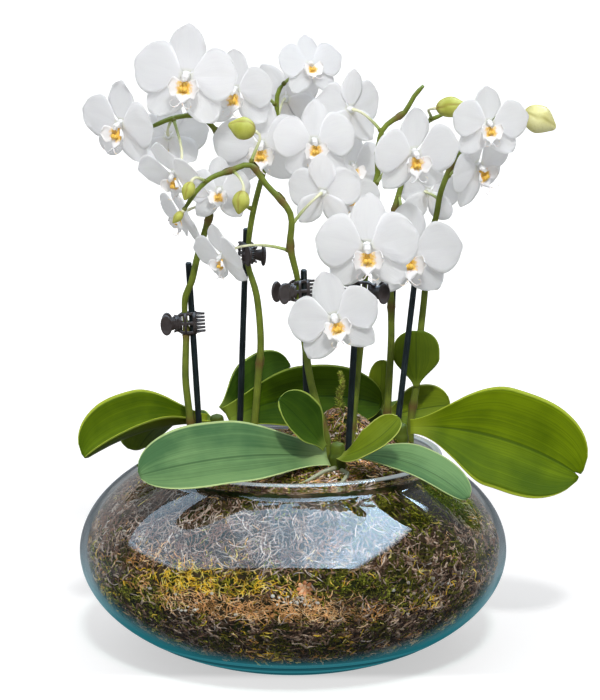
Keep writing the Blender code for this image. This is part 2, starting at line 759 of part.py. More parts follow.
def main():
    clear_scene()
    collection = bpy.data.collections.new("Orchid bowl")
    bpy.context.scene.collection.children.link(collection)
    stake_material = make_material("stake", STAKE_COLOUR, 0.35)
    clip_material = make_material("clip", CLIP_COLOUR, 0.45)
    stem_material = make_material("stem", STEM_COLOUR, 0.45)
    crown_material = make_material("crown", CROWN_COLOUR, 0.6)
    leaf_material = make_material("leaf", LEAF_COLOUR, 0.35)
    bloom_material = make_material("bloom", BLOOM_COLOUR, 0.5)

    build_bowl(collection)
    bars = []
    for name, place in CROWNS.items():
        build_crown(name, place, collection, crown_material)
        bars.append(((*place, CROWN_FOOT_HEIGHT), (*place, HOLE_TOP_HEIGHT), CROWN_RADIUS, CROWN_SIDES))
    for spike in SPIKES:
        foot, head = stake_line(spike)
        name = "stake_" + spike.name
        cylinder(name, foot, head, STAKE_RADIUS, ROUND_SIDES, collection, stake_material)
        share = (HOLE_TOP_HEIGHT - foot.z) / (head.z - foot.z)
        bars.append((foot, foot.lerp(head, share), STAKE_RADIUS, ROUND_SIDES))
        stem_foot, stem_top = (*spike.foot, STEM_FOOT_HEIGHT), (*spike.foot, HOLE_TOP_HEIGHT)
        bars.append((stem_foot, stem_top, STEM_RADIUS, ROUND_SIDES))
        blooms = [bloom for bloom in BLOOMS if bloom.spike == spike.name]
        build_spike(spike, blooms, collection, stem_material)
        build_clip(spike, collection, clip_material)
    build_moss(collection, bars)
    for leaf in LEAVES:
        build_leaf(leaf, collection, leaf_material)
    for bloom in BLOOMS:
        build_bloom(bloom, collection, bloom_material)
    shade_smooth(collection)


main()
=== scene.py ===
"""The looks of a glass bowl planted with moth orchids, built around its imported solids.

Sizes and places are given in millimetres, as in the part's own source, and become Blender's metres
in mm(). +Z is up, and the front of the arrangement faces -Y.
"""

from __future__ import annotations

import logging
import random
from dataclasses import dataclass, field
from enum import Enum
from math import asin, atan2, copysign, cos, degrees, exp, hypot, pi, radians, sin, sqrt, tau
from typing import Callable, Iterable, Sequence

import bmesh
import bpy
from mathutils import Matrix, Vector, noise

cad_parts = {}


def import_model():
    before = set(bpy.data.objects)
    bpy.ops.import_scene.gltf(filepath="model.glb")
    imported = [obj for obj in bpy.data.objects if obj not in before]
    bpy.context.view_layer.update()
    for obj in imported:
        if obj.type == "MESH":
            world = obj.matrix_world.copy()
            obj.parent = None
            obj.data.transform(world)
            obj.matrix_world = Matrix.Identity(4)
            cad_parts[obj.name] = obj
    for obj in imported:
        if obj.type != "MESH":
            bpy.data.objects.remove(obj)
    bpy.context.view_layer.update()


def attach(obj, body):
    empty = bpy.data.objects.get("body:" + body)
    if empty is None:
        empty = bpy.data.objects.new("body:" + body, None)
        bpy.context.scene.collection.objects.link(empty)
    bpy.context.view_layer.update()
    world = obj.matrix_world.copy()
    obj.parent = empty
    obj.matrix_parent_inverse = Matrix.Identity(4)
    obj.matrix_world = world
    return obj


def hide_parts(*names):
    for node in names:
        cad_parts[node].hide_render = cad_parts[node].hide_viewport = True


LOG = logging.getLogger("orchid_bowl")

ROOT_BODY = "root"

Pair = tuple[float, float]
Triple = tuple[float, float, float]
Colour = tuple[float, float, float]
Cluster = tuple[float, float, float, int]
Stops = tuple[tuple[float, Colour], ...]
PointAt = Callable[[float, float], Vector]
BMesh = bmesh.types.BMesh
Material = bpy.types.Material
Mesh = bpy.types.Mesh
Tree = bpy.types.NodeTree
Socket = bpy.types.NodeSocket

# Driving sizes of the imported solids
BOWL_RADIUS = 165.0
BELLY_HALF_HEIGHT = 90.0
BASE_RADIUS = 66.0
WALL = 5.0
BASE_THICKNESS = 12.0
NECK_INNER_RADIUS = 108.5
NECK_OUTER_RADIUS = 113.0
LIP_RADIUS = 3.2
LIP_HEIGHT = 155.0
GAP = 0.3
BELLY_HEIGHT = BELLY_HALF_HEIGHT * sqrt(1 - (BASE_RADIUS / BOWL_RADIUS) ** 2)
MOSS_EDGE_HEIGHT = 149.0
MOSS_DOME = 14.0
MOSS_MOUNDS = (((38, 6), 28, 20), ((84, 26), 9, 20), ((-58, 30), 7, 24), ((10, -40), 4, 20))
MOSS_ROUGHNESS = 3.0
STAKE_RADIUS = 2.4
STAKE_FOOT_HEIGHT = 70.0
STEM_RADIUS = 2.2
STEM_TIP_RADIUS = 1.3
STEM_FOOT_HEIGHT = 138.0
STEM_BEND_HEIGHT = 172.0
PEDICEL_RADIUS = 1.1
TIED_SPACING = STEM_RADIUS + STAKE_RADIUS + 0.8
CLIP_REACH = 9.0
CROWN_RADIUS = 7.5
CROWN_FOOT_HEIGHT = 136.0
CROWN_TOP_HEIGHT = 177.0
LEAF_THICKNESS = 1.8
BLOOM_WIDTH = 62.0
HUB_RADIUS = 3.6
HUB_BACK = 3.2
HUB_FRONT = 2.4

# How much of its thickness a leaf or petal keeps at its edge
EDGE_SHARE = 0.35

BLACK = (0.0, 0.0, 0.0)
WHITE = (1.0, 1.0, 1.0)


def mm(*values: float | Iterable[float]) -> Vector:
    """A point given in millimetres, in Blender's metres."""
    return Vector(values if len(values) > 1 else values[0]) / 1000.0


def at(*values: float | Iterable[float]) -> Matrix:
    """The matrix that moves the origin to a point given in millimetres."""
    return Matrix.Translation(mm(*values))


def aimed(direction: Vector) -> Matrix:
    """A turn that points +Z along a direction."""
    return direction.to_track_quat("Z", "Y").to_matrix().to_4x4()


def smooth(low: float, high: float, value: float) -> float:
    """A smooth step from 0 at low to 1 at high."""
    share = min(1.0, max(0.0, (value - low) / (high - low)))
    return share * share * (3 - 2 * share)


class Slot(Enum):
    """The record's material slots."""

    GLASS = "glass"
    MOSS = "moss"
    CROWN = "crown"
    STAKE = "stake"
    STEM = "stem"
    CLIP = "clip"
    LEAF = "leaf"
    BLOOM = "bloom"


# Modelling


def smooth_route(points: Sequence[Iterable[float]], spacing: float) -> list[Vector]:
    """Points about spacing apart on a smooth curve through the given points.

    Args:
        points: The points that the curve passes through, in order.
        spacing: The wanted distance between neighbours.

    Returns:
        The curve's points, with both ends.
    """
    knots = [Vector(point) for point in points]
    padded = [2 * knots[0] - knots[1], *knots, 2 * knots[-1] - knots[-2]]
    route = []
    for p0, p1, p2, p3 in zip(padded, padded[1:], padded[2:], padded[3:]):
        steps = max(1, round((p2 - p1).length / spacing))
        for step in range(steps):
            t = step / steps
            bend = (2 * p0 - 5 * p1 + 4 * p2 - p3) * t**2 + (3 * p1 - p0 - 3 * p2 + p3) * t**3
            route.append(0.5 * (2 * p1 + (p2 - p0) * t + bend))
    route.append(knots[-1])
    return route


def nearest_on(route: Sequence[Vector], point: Iterable[float]) -> Vector:
    """The place nearest to a point on the straight pieces between a route's points."""
    point = Vector(point)
    best = None
    for start, end in zip(route, route[1:]):
        piece = end - start
        share = max(0.0, min(1.0, (point - start).dot(piece) / piece.length_squared))
        found = start + piece * share
        if best is None or (found - point).length < (best - point).length:
            best = found
    return best


def taper(route: Sequence[Vector], thick: float, drop: float) -> list[float]:
    """Radii for a route's points, which shrink evenly by drop from the first to the last."""
    last = len(route) - 1
    return [thick - drop * index / last for index in range(last + 1)]


def tone_layer(shape: BMesh) -> bmesh.types.BMLayerItem:
    """The layer that holds each vertex's tone, made where there is none yet."""
    layers = shape.verts.layers.float
    return layers.get("tone") or layers.new("tone")


def add_tube(
    shape: BMesh,
    route: Sequence[Vector],
    radii: Sequence[float],
    sides: int,
    material: int = 0,
    tone: Sequence[float] | None = None,
) -> None:
    """Adds a bent round bar with closed ends to a bmesh.

    Args:
        shape: The bmesh that the bar is added to.
        route: The middle of the bar, in millimetres.
        radii: One radius for each point of the route.
        sides: The number of sides.
        material: The index of the faces' material.
        tone: One value of the tone layer for each point, or None to leave it at 0.
    """
    layer = tone_layer(shape)
    directions = []
    for index in range(len(route)):
        before, after = route[max(0, index - 1)], route[min(len(route) - 1, index + 1)]
        directions.append((after - before).normalized())
    ring = bmesh.ops.create_circle(
        shape, cap_ends=True, segments=sides, radius=radii[0] / 1000.0,
        matrix=at(route[0]) @ aimed(directions[0]),
    )["verts"]
    faces = {face for vertex in ring for face in vertex.link_faces}
    edges = list({edge for vertex in ring for edge in vertex.link_edges})
    for vertex in ring:
        vertex[layer] = tone[0] if tone else 0.0
    for index in range(1, len(route)):
        made = bmesh.ops.extrude_edge_only(shape, edges=edges)["geom"]
        ring = [item for item in made if isinstance(item, bmesh.types.BMVert)]
        edges = [item for item in made if isinstance(item, bmesh.types.BMEdge)
                 and all(vertex in ring for vertex in item.verts)]
        faces.update(item for item in made if isinstance(item, bmesh.types.BMFace))
        bend = directions[index - 1].rotation_difference(directions[index]).to_matrix().to_4x4()
        grow = Matrix.Scale(radii[index] / radii[index - 1], 4)
        move = at(route[index]) @ bend @ grow @ at(-route[index - 1])
        bmesh.ops.transform(shape, matrix=move, verts=ring)
        for vertex in ring:
            vertex[layer] = tone[index] if tone else 0.0
    faces.update(bmesh.ops.edgeloop_fill(shape, edges=edges)["faces"])
    bmesh.ops.recalc_face_normals(shape, faces=list(faces))
    for face in faces:
        face.material_index = material


def add_blade(
    shape: BMesh,
    rows: int,
    columns: int,
    point_at: PointAt,
    thickness: float,
    material: int = 0,
    under: int | None = None,
    tone_at: Callable[[float, float], float] | None = None,
) -> None:
    """Adds a thin curved blade to a bmesh, with a UV map: U along it and V across it.

    Args:
        shape: The bmesh that the blade is added to.
        rows: The number of faces along the blade.
        columns: The number of faces across the blade.
        point_at: The middle surface, in millimetres, at (0 to 1 along, -1 to 1 across).
        thickness: The blade's thickness in millimetres.
        material: The index of the upper faces' material.
        under: The index of the lower faces' material, or None for the same one.
        tone_at: The value of the tone layer at (along, across), or None to leave it at 0.
    """
    layer = tone_layer(shape)
    map_layer = shape.loops.layers.uv.verify()
    grid = bmesh.ops.create_grid(shape, x_segments=rows, y_segments=columns, size=1.0)["verts"]
    upper = list({face for vertex in grid for face in vertex.link_faces})
    for face in upper:
        for loop in face.loops:
            loop[map_layer].uv = ((loop.vert.co.x + 1) / 2, (loop.vert.co.y + 1) / 2)
    for vertex in grid:
        along, across = (vertex.co.x + 1) / 2, vertex.co.y
        vertex.co = mm(point_at(along, across))
        if tone_at:
            vertex[layer] = tone_at(along, across)
    for face in upper:
        face.normal_update()
    for vertex in grid:
        vertex.normal_update()
    edges = list({edge for vertex in grid for edge in vertex.link_edges})
    rim = [edge for edge in edges if edge.is_boundary]
    copied = bmesh.ops.duplicate(shape, geom=[*grid, *edges, *upper])
    partners = copied["vert_map"]
    thin = {vertex for edge in rim for vertex in edge.verts}
    for vertex in grid:
        depth = thickness * (EDGE_SHARE if vertex in thin else 1.0)
        partners[vertex].co = vertex.co - vertex.normal * (depth / 1000.0)
    lower = [item for item in copied["geom"] if isinstance(item, bmesh.types.BMFace)]
    lower_rim = [copied["edge_map"][edge] for edge in rim]
    bmesh.ops.reverse_faces(shape, faces=lower)
    sides = bmesh.ops.bridge_loops(shape, edges=rim + lower_rim)["faces"]
    for face in [*upper, *sides]:
        face.material_index = material
    for face in lower:
        face.material_index = material if under is None else under


def add_ball(
    shape: BMesh,
    place: Matrix,
    radii: Triple,
    segments: int = 16,
    material: int = 0,
    tone: float | Callable[[Vector], float] = 0.0,
    shaper: Callable[[Vector], Vector] | None = None,
) -> None:
    """Adds a ball, stretched to three radii and then shaped, at a matrix in metres.

    Args:
        shape: The bmesh that the ball is added to.
        place: Where the ball goes.
        radii: Its three radii in millimetres.
        segments: The number of faces round it.
        material: The index of the faces' material.
        tone: The value of the tone layer, or a function of the shaped unit ball's points.
        shaper: Moves a point of the unit ball before it is stretched, or None.
    """
    layer = tone_layer(shape)
    verts = bmesh.ops.create_uvsphere(
        shape, u_segments=segments, v_segments=max(4, segments * 2 // 3), radius=1.0
    )["verts"]
    stretch = mm(radii)
    for vertex in verts:
        unit = shaper(vertex.co) if shaper else vertex.co.copy()
        vertex.co = place @ Vector([a * b for a, b in zip(unit, stretch)])
        vertex[layer] = tone(unit) if callable(tone) else tone
    for face in {face for vertex in verts for face in vertex.link_faces}:
        face.material_index = material


def turned(profile: Sequence[Pair], steps: int) -> BMesh:
    """A closed solid of revolution about Z from (radius, height) points that end on the axis."""
    shape = bmesh.new()
    verts = [shape.verts.new(mm(radius, 0, height)) for radius, height in profile]
    edges = [shape.edges.new(pair) for pair in zip(verts, verts[1:])]
    bmesh.ops.spin(
        shape, geom=verts + edges, cent=(0, 0, 0), axis=(0, 0, 1), angle=tau, steps=steps,
        use_merge=True, use_duplicate=False,
    )
    bmesh.ops.remove_doubles(shape, verts=shape.verts, dist=1e-6)
    bmesh.ops.recalc_face_normals(shape, faces=shape.faces)
    return shape


def into_mesh(name: str, shape: BMesh) -> Mesh:
    """Makes a bmesh into a mesh, and frees it."""
    mesh = bpy.data.meshes.new(name)
    shape.to_mesh(mesh)
    shape.free()
    return mesh


def into_scene(name: str, data: bpy.types.ID) -> bpy.types.Object:
    """Makes an object of a mesh, a light or a camera, and links it to the scene."""
    made = bpy.data.objects.new(name, data)
    bpy.context.scene.collection.objects.link(made)
    return made


def place_piece(
    name: str,
    shape: BMesh,
    materials: Sequence[Material],
    slot: Slot,
    stands_for: Sequence[str] = (),
) -> None:
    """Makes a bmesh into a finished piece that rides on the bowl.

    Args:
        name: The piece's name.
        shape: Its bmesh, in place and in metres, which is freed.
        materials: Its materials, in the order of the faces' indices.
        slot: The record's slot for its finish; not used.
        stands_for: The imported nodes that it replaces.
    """
    mesh = into_mesh(name, shape)
    for material in materials:
        mesh.materials.append(material)
    mesh.shade_smooth()
    made = into_scene(name, mesh)
    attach(made, ROOT_BODY)
    if stands_for:
        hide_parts(*stands_for)
    LOG.info("%s: %d faces", name, len(mesh.polygons))


# Material building


class Nodes:
    """Adds nodes to one tree and links them."""

    def __init__(self, tree: Tree) -> None:
        """Starts on a tree."""
        self.tree = tree

    def add(self, kind: str, inputs: dict | None = None, **settings: object) -> bpy.types.Node:
        """Adds a node.

        Args:
            kind: The node's type, without its ShaderNode prefix.
            inputs: Values, or sockets to link, by input name or number.
            settings: The node's own properties.

        Returns:
            The node.
        """
        node = self.tree.nodes.new("ShaderNode" + kind)
        for name, value in settings.items():
            setattr(node, name, value)
        for key, value in (inputs or {}).items():
            self.set(node, key, value)
        return node

    def set(self, node: bpy.types.Node, key: str | int, value: object) -> None:
        """Links a socket to an input, or sets the input's value."""
        socket = node.inputs[key]
        if isinstance(value, Socket):
            self.tree.links.new(value, socket)
        elif isinstance(value, tuple) and len(value) == 3 and socket.type == "RGBA":
            socket.default_value = (*value, 1.0)
        else:
            socket.default_value = value

    def math(self, operation: str, first: object, second: object = 0.0, clamp: bool = False) -> Socket:
        """A Math node's output socket."""
        return self.add("Math", {0: first, 1: second}, operation=operation, use_clamp=clamp).outputs[0]

    def plus(self, first: object, second: object, clamp: bool = False) -> Socket:
        """The sum of two values."""
        return self.math("ADD", first, second, clamp)

    def minus(self, first: object, second: object, clamp: bool = False) -> Socket:
        """The first value less the second."""
        return self.math("SUBTRACT", first, second, clamp)

    def times(self, first: object, second: object) -> Socket:
        """The product of two values."""
        return self.math("MULTIPLY", first, second)

    def mix(self, factor: object, first: object, second: object) -> Socket:
        """The output socket of a Mix node for colours."""
        return self.add("Mix", {0: factor, 6: first, 7: second}, data_type="RGBA").outputs[2]

    def ramp(self, factor: object, stops: Stops) -> Socket:
        """The colour socket of a Color Ramp with the given stops."""
        node = self.add("ValToRGB", {0: factor})
        elements = node.color_ramp.elements
        while len(elements) > 1:
            elements.remove(elements[-1])
        elements[0].position, elements[0].color = stops[0][0], (*stops[0][1], 1.0)
        for position, colour in stops[1:]:
            elements.new(position).color = (*colour, 1.0)
        return node.outputs[0]

    def spread(self, value: object, low: object, high: object) -> Socket:
        """A straight rise of a value, from 0 at low to 1 at high."""
        return self.add("MapRange", {0: value, 1: low, 2: high}).outputs[0]

    def step(self, value: object, low: float, high: float) -> Socket:
        """A smooth rise of a value, from 0 at low to 1 at high."""
        inputs = {0: value, 1: low, 2: high}
        return self.add("MapRange", inputs, interpolation_type="SMOOTHSTEP").outputs[0]

    def fade(self, value: object, low: float, high: float) -> Socket:
        """A smooth fall of a value, from 1 at low to 0 at high."""
        return self.minus(1.0, self.step(value, low, high))

    def axis(self, coordinates: str, axis: str) -> Socket:
        """One axis of the Object, UV or Generated coordinates."""
        return self.add("SeparateXYZ", {0: self.add("TexCoord").outputs[coordinates]}).outputs[axis]

    def height(self) -> Socket:
        """The height above the table, in millimetres."""
        return self.times(self.axis("Object", "Z"), 1000.0)

    def off_middle(self) -> Socket:
        """The distance from a blade's midrib on its UV map, from 0 to 0.5."""
        return self.math("ABSOLUTE", self.minus(self.axis("UV", "Y"), 0.5))

    def effect(self, group: Tree, **inputs: object) -> Socket:
        """The output of a shared effect, placed here with its own values."""
        return self.add("Group", inputs, node_tree=group).outputs[0]


class NewEffect(Nodes):
    """A shader node group under way, with number inputs and one output."""

    def __init__(self, name: str, inputs: dict[str, float], output: str, kind: str = "Float") -> None:
        """Starts the group.

        Args:
            name: The group's name.
            inputs: The defaults of its inputs by their names.
            output: The name of its output.
            kind: The type of its output.
        """
        super().__init__(bpy.data.node_groups.new(name, "ShaderNodeTree"))
        sockets = self.tree.interface
        for label, value in inputs.items():
            sockets.new_socket(label, in_out="INPUT", socket_type="NodeSocketFloat").default_value = value
        sockets.new_socket(output, in_out="OUTPUT", socket_type=f"NodeSocket{kind}")
        self.given = self.tree.nodes.new("NodeGroupInput").outputs

    def close(self, result: Socket) -> Tree:
        """Links the result to the output, and gives the finished group."""
        self.set(self.tree.nodes.new("NodeGroupOutput"), 0, result)
        return self.tree


class Effects:
    """The node groups that several finishes share."""

    def __init__(self) -> None:
        """Builds the groups once."""
        self.mottle = self._mottle()
        self.fibres = self._fibres()
        self.relief = self._relief()

    @staticmethod
    def _mottle() -> Tree:
        """Soft blotches in space: a mask from 0 to 1."""
        group = NewEffect("soft mottle", {"Scale": 60.0, "Low": 0.35, "High": 0.65}, "Mask")
        place, given = group.add("TexCoord").outputs["Object"], group.given
        cloud = group.add("TexNoise", {"Vector": place, "Scale": given["Scale"], "Detail": 3.0})
        return group.close(group.spread(cloud.outputs[0], given["Low"], given["High"]))

    @staticmethod
    def _fibres() -> Tree:
        """Fine lines that run along a blade's UV map: a mask from 0 to 1."""
        group = NewEffect("fine fibres", {"Along": 3.0, "Across": 60.0}, "Lines")
        flat, given = group.add("TexCoord").outputs["UV"], group.given
        scale = group.add("CombineXYZ", {0: given["Along"], 1: given["Across"], 2: 1.0}).outputs[0]
        spot = group.add("VectorMath", {0: flat, 1: scale}, operation="MULTIPLY").outputs[0]
        lines = group.add("TexNoise", {"Vector": spot, "Scale": 1.0, "Detail": 1.5})
        return group.close(group.spread(lines.outputs[0], 0.38, 0.62))

    @staticmethod
    def _relief() -> Tree:
        """Fine unevenness of a surface: a normal."""
        inputs = {"Scale": 400.0, "Depth": 0.0002, "Strength": 0.4}
        group = NewEffect("fine relief", inputs, "Normal", "Vector")
        place, given = group.add("TexCoord").outputs["Object"], group.given
        grain = group.add("TexNoise", {"Vector": place, "Scale": given["Scale"], "Detail": 4.0}).outputs[0]
        bump = {"Height": grain, "Distance": given["Depth"], "Strength": given["Strength"]}
        return group.close(group.add("Bump", bump).outputs[0])


class Surface(Nodes):
    """The nodes of a new material, around its Principled shader."""

    def __init__(self, name: str, roughness: float) -> None:
        """Starts a material with one roughness all over."""
        self.material = bpy.data.materials.new(name)
        self.material.use_nodes = True
        super().__init__(self.material.node_tree)
        self.shader = self.tree.nodes["Principled BSDF"]
        self.dress({"Roughness": roughness})

    def dress(self, inputs: dict[str, object]) -> Material:
        """Sets or links inputs of the shader, and gives the material."""
        for key, value in inputs.items():
            self.set(self.shader, key, value)
        return self.material


@dataclass(frozen=True)
class GlassFinish:
    """Clear recycled glass that turns teal where it is seen through its depth, with painted light on it: a
    painted teal glow at its grazing edges and its foot, and a painted highlight on its rim. Heights are in
    millimetres.
    """

    tint: Colour = (0.30, 0.85, 0.88)
    density: float = 11.0
    ior: float = 1.48
    roughness: float = 0.01
    shadow: Colour = (1.0, 0.97, 0.94)
    # Painted light, which only the camera sees: a teal glow painted where the wall is seen edge-on low on the
    # belly and at the foot, with darker painted streaks in the foot's glow
    painted_edge_glow: Colour = (0.006, 0.125, 0.152)
    edge_facing: Pair = (0.55, 0.85)
    edge_heights: Pair = (50.0, 100.0)
    painted_base_glow: Colour = (0.026, 0.185, 0.222)
    base_heights: Pair = (24.0, 33.0)
    painted_base_streak: Colour = (0.002, 0.036, 0.048)
    streak_share: float = 0.45
    streak_waves: tuple[Pair, Pair] = ((9.5, 0.40), (3.1, 0.22))
    # Painted highlight: a pale glow painted along the rim's top
    painted_rim_highlight: Colour = (0.30, 0.34, 0.35)
    rim_heights: Pair = (156.0, 157.2)

    def make(self, effects: Effects) -> Material:
        """Builds the material."""
        glass = Surface("recycled glass", self.roughness)
        height = glass.height()
        facing = glass.add("LayerWeight", {0: 0.5}).outputs["Facing"]
        # The painted glow: teal at the grazing edges and the foot, streaked at the foot
        edge = glass.times(glass.step(facing, *self.edge_facing), glass.fade(height, *self.edge_heights))
        glow = glass.mix(edge, BLACK, self.painted_edge_glow)
        waves = [
            glass.times(glass.math("SINE", glass.times(height, tau / pitch)), strength)
            for pitch, strength in self.streak_waves
        ]
        painted_streaks = glass.plus(glass.plus(*waves), self.streak_share, clamp=True)
        base = glass.mix(painted_streaks, self.painted_base_glow, self.painted_base_streak)
        glow = glass.mix(glass.fade(height, *self.base_heights), glow, base)
        # Painted highlight on the rim's top
        glow = glass.mix(glass.step(height, *self.rim_heights), glow, self.painted_rim_highlight)
        path = glass.add("LightPath").outputs
        clear = glass.add("BsdfTransparent", {"Color": self.shadow}).outputs[0]
        both = glass.add("MixShader", {0: path["Is Shadow Ray"], 1: glass.shader.outputs[0], 2: clear})
        depth = glass.add("VolumeAbsorption", {"Color": self.tint, "Density": self.density})
        output = glass.tree.nodes["Material Output"]
        glass.set(output, "Surface", both.outputs[0])
        glass.set(output, "Volume", depth.outputs[0])
        return glass.dress({
            "Base Color": WHITE,
            "IOR": self.ior,
            "Transmission Weight": 1.0,
            "Normal": glass.effect(effects.relief, Scale=28.0, Depth=0.0006, Strength=0.18),
            "Emission Color": glow,
            "Emission Strength": path["Is Camera Ray"],
        })


@dataclass(frozen=True)
class MossFinish:
    """Moss, dried strands or bark, whose colour changes from strand to strand and along each. It is darker
    towards the bottom, painted darker deeper behind the glass as painted shade, and given a faint painted
    glow.
    """

    name: str
    shades: Stops
    other: Colour
    # A painted glow in the moss's own colour, standing in for light scattered among the strands
    painted_glow: float = 0.10
    other_share: float = 0.70
    roughness: float = 0.8
    gloom: Colour = (0.035, 0.02, 0.008)
    # The colour that the moss turns towards low in the bowl
    low_dark: Colour = (0.022, 0.022, 0.010)
    low_dark_heights: Pair = (14.0, 50.0)
    # Painted shade: the colour that strands deeper behind the glass are painted towards
    painted_depth_shade: Colour = (0.024, 0.017, 0.008)
    painted_shade_depths: Pair = (0.006, 0.026)

    def make(self, effects: Effects) -> Material:
        """Builds the material."""
        moss = Surface(self.name, self.roughness)
        island = moss.add("NewGeometry").outputs["Random Per Island"]
        grain = moss.effect(effects.mottle, Scale=520.0, Low=0.3, High=0.7)
        mixed = moss.plus(moss.times(island, 0.95), moss.times(grain, 0.55))
        colour = moss.ramp(moss.minus(mixed, 0.25, clamp=True), self.shades)
        patch = moss.effect(effects.mottle, Scale=55.0, Low=0.45, High=0.62)
        odd = moss.math("FRACT", moss.times(island, 7.31))
        chosen = moss.math("LESS_THAN", odd, moss.times(patch, self.other_share))
        shade = moss.mix(grain, moss.mix(0.55, self.other, BLACK), self.other)
        colour = moss.mix(chosen, colour, shade)
        gloom = moss.effect(effects.mottle, Scale=70.0, Low=0.50, High=0.66)
        colour = moss.mix(moss.times(gloom, 0.55), colour, self.gloom)
        # Darker towards the bottom of the bowl
        low_down = moss.fade(moss.height(), *self.low_dark_heights)
        colour = moss.mix(moss.times(low_down, 0.25), colour, self.low_dark)
        # Painted shade: strands deeper behind the glass are painted darker
        inward = moss.step(self.depth(moss), *self.painted_shade_depths)
        colour = moss.mix(moss.times(inward, 0.42), colour, self.painted_depth_shade)
        return moss.dress({
            "Base Color": colour,
            # The emission is a painted glow, not a lamp
            "Emission Color": colour,
            "Emission Strength": self.painted_glow,
            "Normal": moss.effect(effects.relief, Scale=900.0, Depth=0.0004, Strength=0.5),
            "Specular IOR Level": 0.1,
        })

    @staticmethod
    def depth(moss: Nodes) -> Socket:
        """The depth behind the glass, as a share of the belly's radius."""
        wide, high = BOWL_RADIUS - WALL - GAP, BELLY_HALF_HEIGHT - WALL - GAP
        place = moss.add("TexCoord").outputs["Object"]
        for operation, other in (("SUBTRACT", mm(0, 0, BELLY_HEIGHT)), ("DIVIDE", mm(wide, wide, high))):
            place = moss.add("VectorMath", {0: place, 1: other}, operation=operation).outputs[0]
        return moss.minus(1.0, moss.add("VectorMath", {0: place}, operation="LENGTH").outputs["Value"])


class LeafTone(Enum):
    """How light and how grey a leaf is."""

    SILVER = "silver"
    BRIGHT = "bright"
    DEEP = "deep"
    SHADED = "shaded"
    YOUNG = "young"


@dataclass(frozen=True)
class LeafFinish:
    """A waxy strap leaf with fine lines along it, a midrib, a pale thin edge, and painted light that makes
    one side of the blade lighter.
    """

    light: Colour
    deep: Colour
    edge: Colour
    # How much lighter one side of the blade is painted than the other: painted light
    lean: float
    roughness: float
    gloss: float
    rib: Pair = (0.005, 0.028)
    rim: Pair = (0.464, 0.486)

    def make(self, effects: Effects, name: str) -> Material:
        """Builds the material."""
        leaf = Surface(name, self.roughness)
        along, across, off = leaf.axis("UV", "X"), leaf.axis("UV", "Y"), leaf.off_middle()
        lines = leaf.effect(effects.fibres, Along=1.5, Across=70.0)
        broad = leaf.effect(effects.fibres, Along=0.8, Across=16.0)
        blotch = leaf.effect(effects.mottle, Scale=34.0, Low=0.3, High=0.7)
        # Painted light: one side of the blade, across the midrib, is painted lighter than the other
        lit = leaf.times(leaf.minus(across, 0.5), self.lean * 2)
        share = leaf.plus(leaf.times(blotch, 0.65), leaf.times(broad, 0.35))
        share = leaf.plus(leaf.plus(share, lit), 0.02, clamp=True)
        colour = leaf.mix(share, self.deep, self.light)
        dark = leaf.mix(0.5, self.deep, (0.01, 0.03, 0.005))
        rib = leaf.fade(off, *self.rib)
        for mask, strength, tone in (
            (lines, 0.32, dark), (rib, 0.75, dark), (leaf.fade(along, 0.0, 0.2), 0.45, self.edge),
            (leaf.step(off, *self.rim), 0.9, self.edge),
        ):
            colour = leaf.mix(leaf.times(mask, strength), colour, tone)
        height = leaf.minus(leaf.times(lines, 0.35), rib)
        return leaf.dress({
            "Base Color": colour,
            "Normal": leaf.add("Bump", {"Height": height, "Distance": 0.0004, "Strength": 0.35}).outputs[0],
            "Roughness": leaf.plus(leaf.times(blotch, 0.12), self.roughness - 0.06),
            "Specular IOR Level": self.gloss,
        })


LEAF_FINISHES = {
    tone: LeafFinish(*looks)
    for tone, *looks in (
        (LeafTone.SILVER, (0.168, 0.290, 0.104), (0.050, 0.118, 0.038), (0.50, 0.62, 0.26), 0.35, 0.5, 0.06),
        (LeafTone.BRIGHT, (0.155, 0.228, 0.002), (0.060, 0.105, 0.001), (0.40, 0.48, 0.04), 0.45, 0.42, 0.04),
        (LeafTone.DEEP, (0.070, 0.130, 0.002), (0.024, 0.056, 0.001), (0.34, 0.44, 0.06), 0.3, 0.42, 0.04),
        (LeafTone.SHADED, (0.052, 0.108, 0.006), (0.018, 0.048, 0.003), (0.34, 0.44, 0.08), 0.3, 0.36, 0.10),
        (LeafTone.YOUNG, (0.200, 0.265, 0.010), (0.090, 0.140, 0.004), (0.50, 0.56, 0.12), 0.3, 0.42, 0.08),
    )
}
LEAF_UNDER = LeafFinish((0.120, 0.175, 0.010), (0.066, 0.105, 0.006), (0.30, 0.38, 0.06), 0.1, 0.5, 0.05)


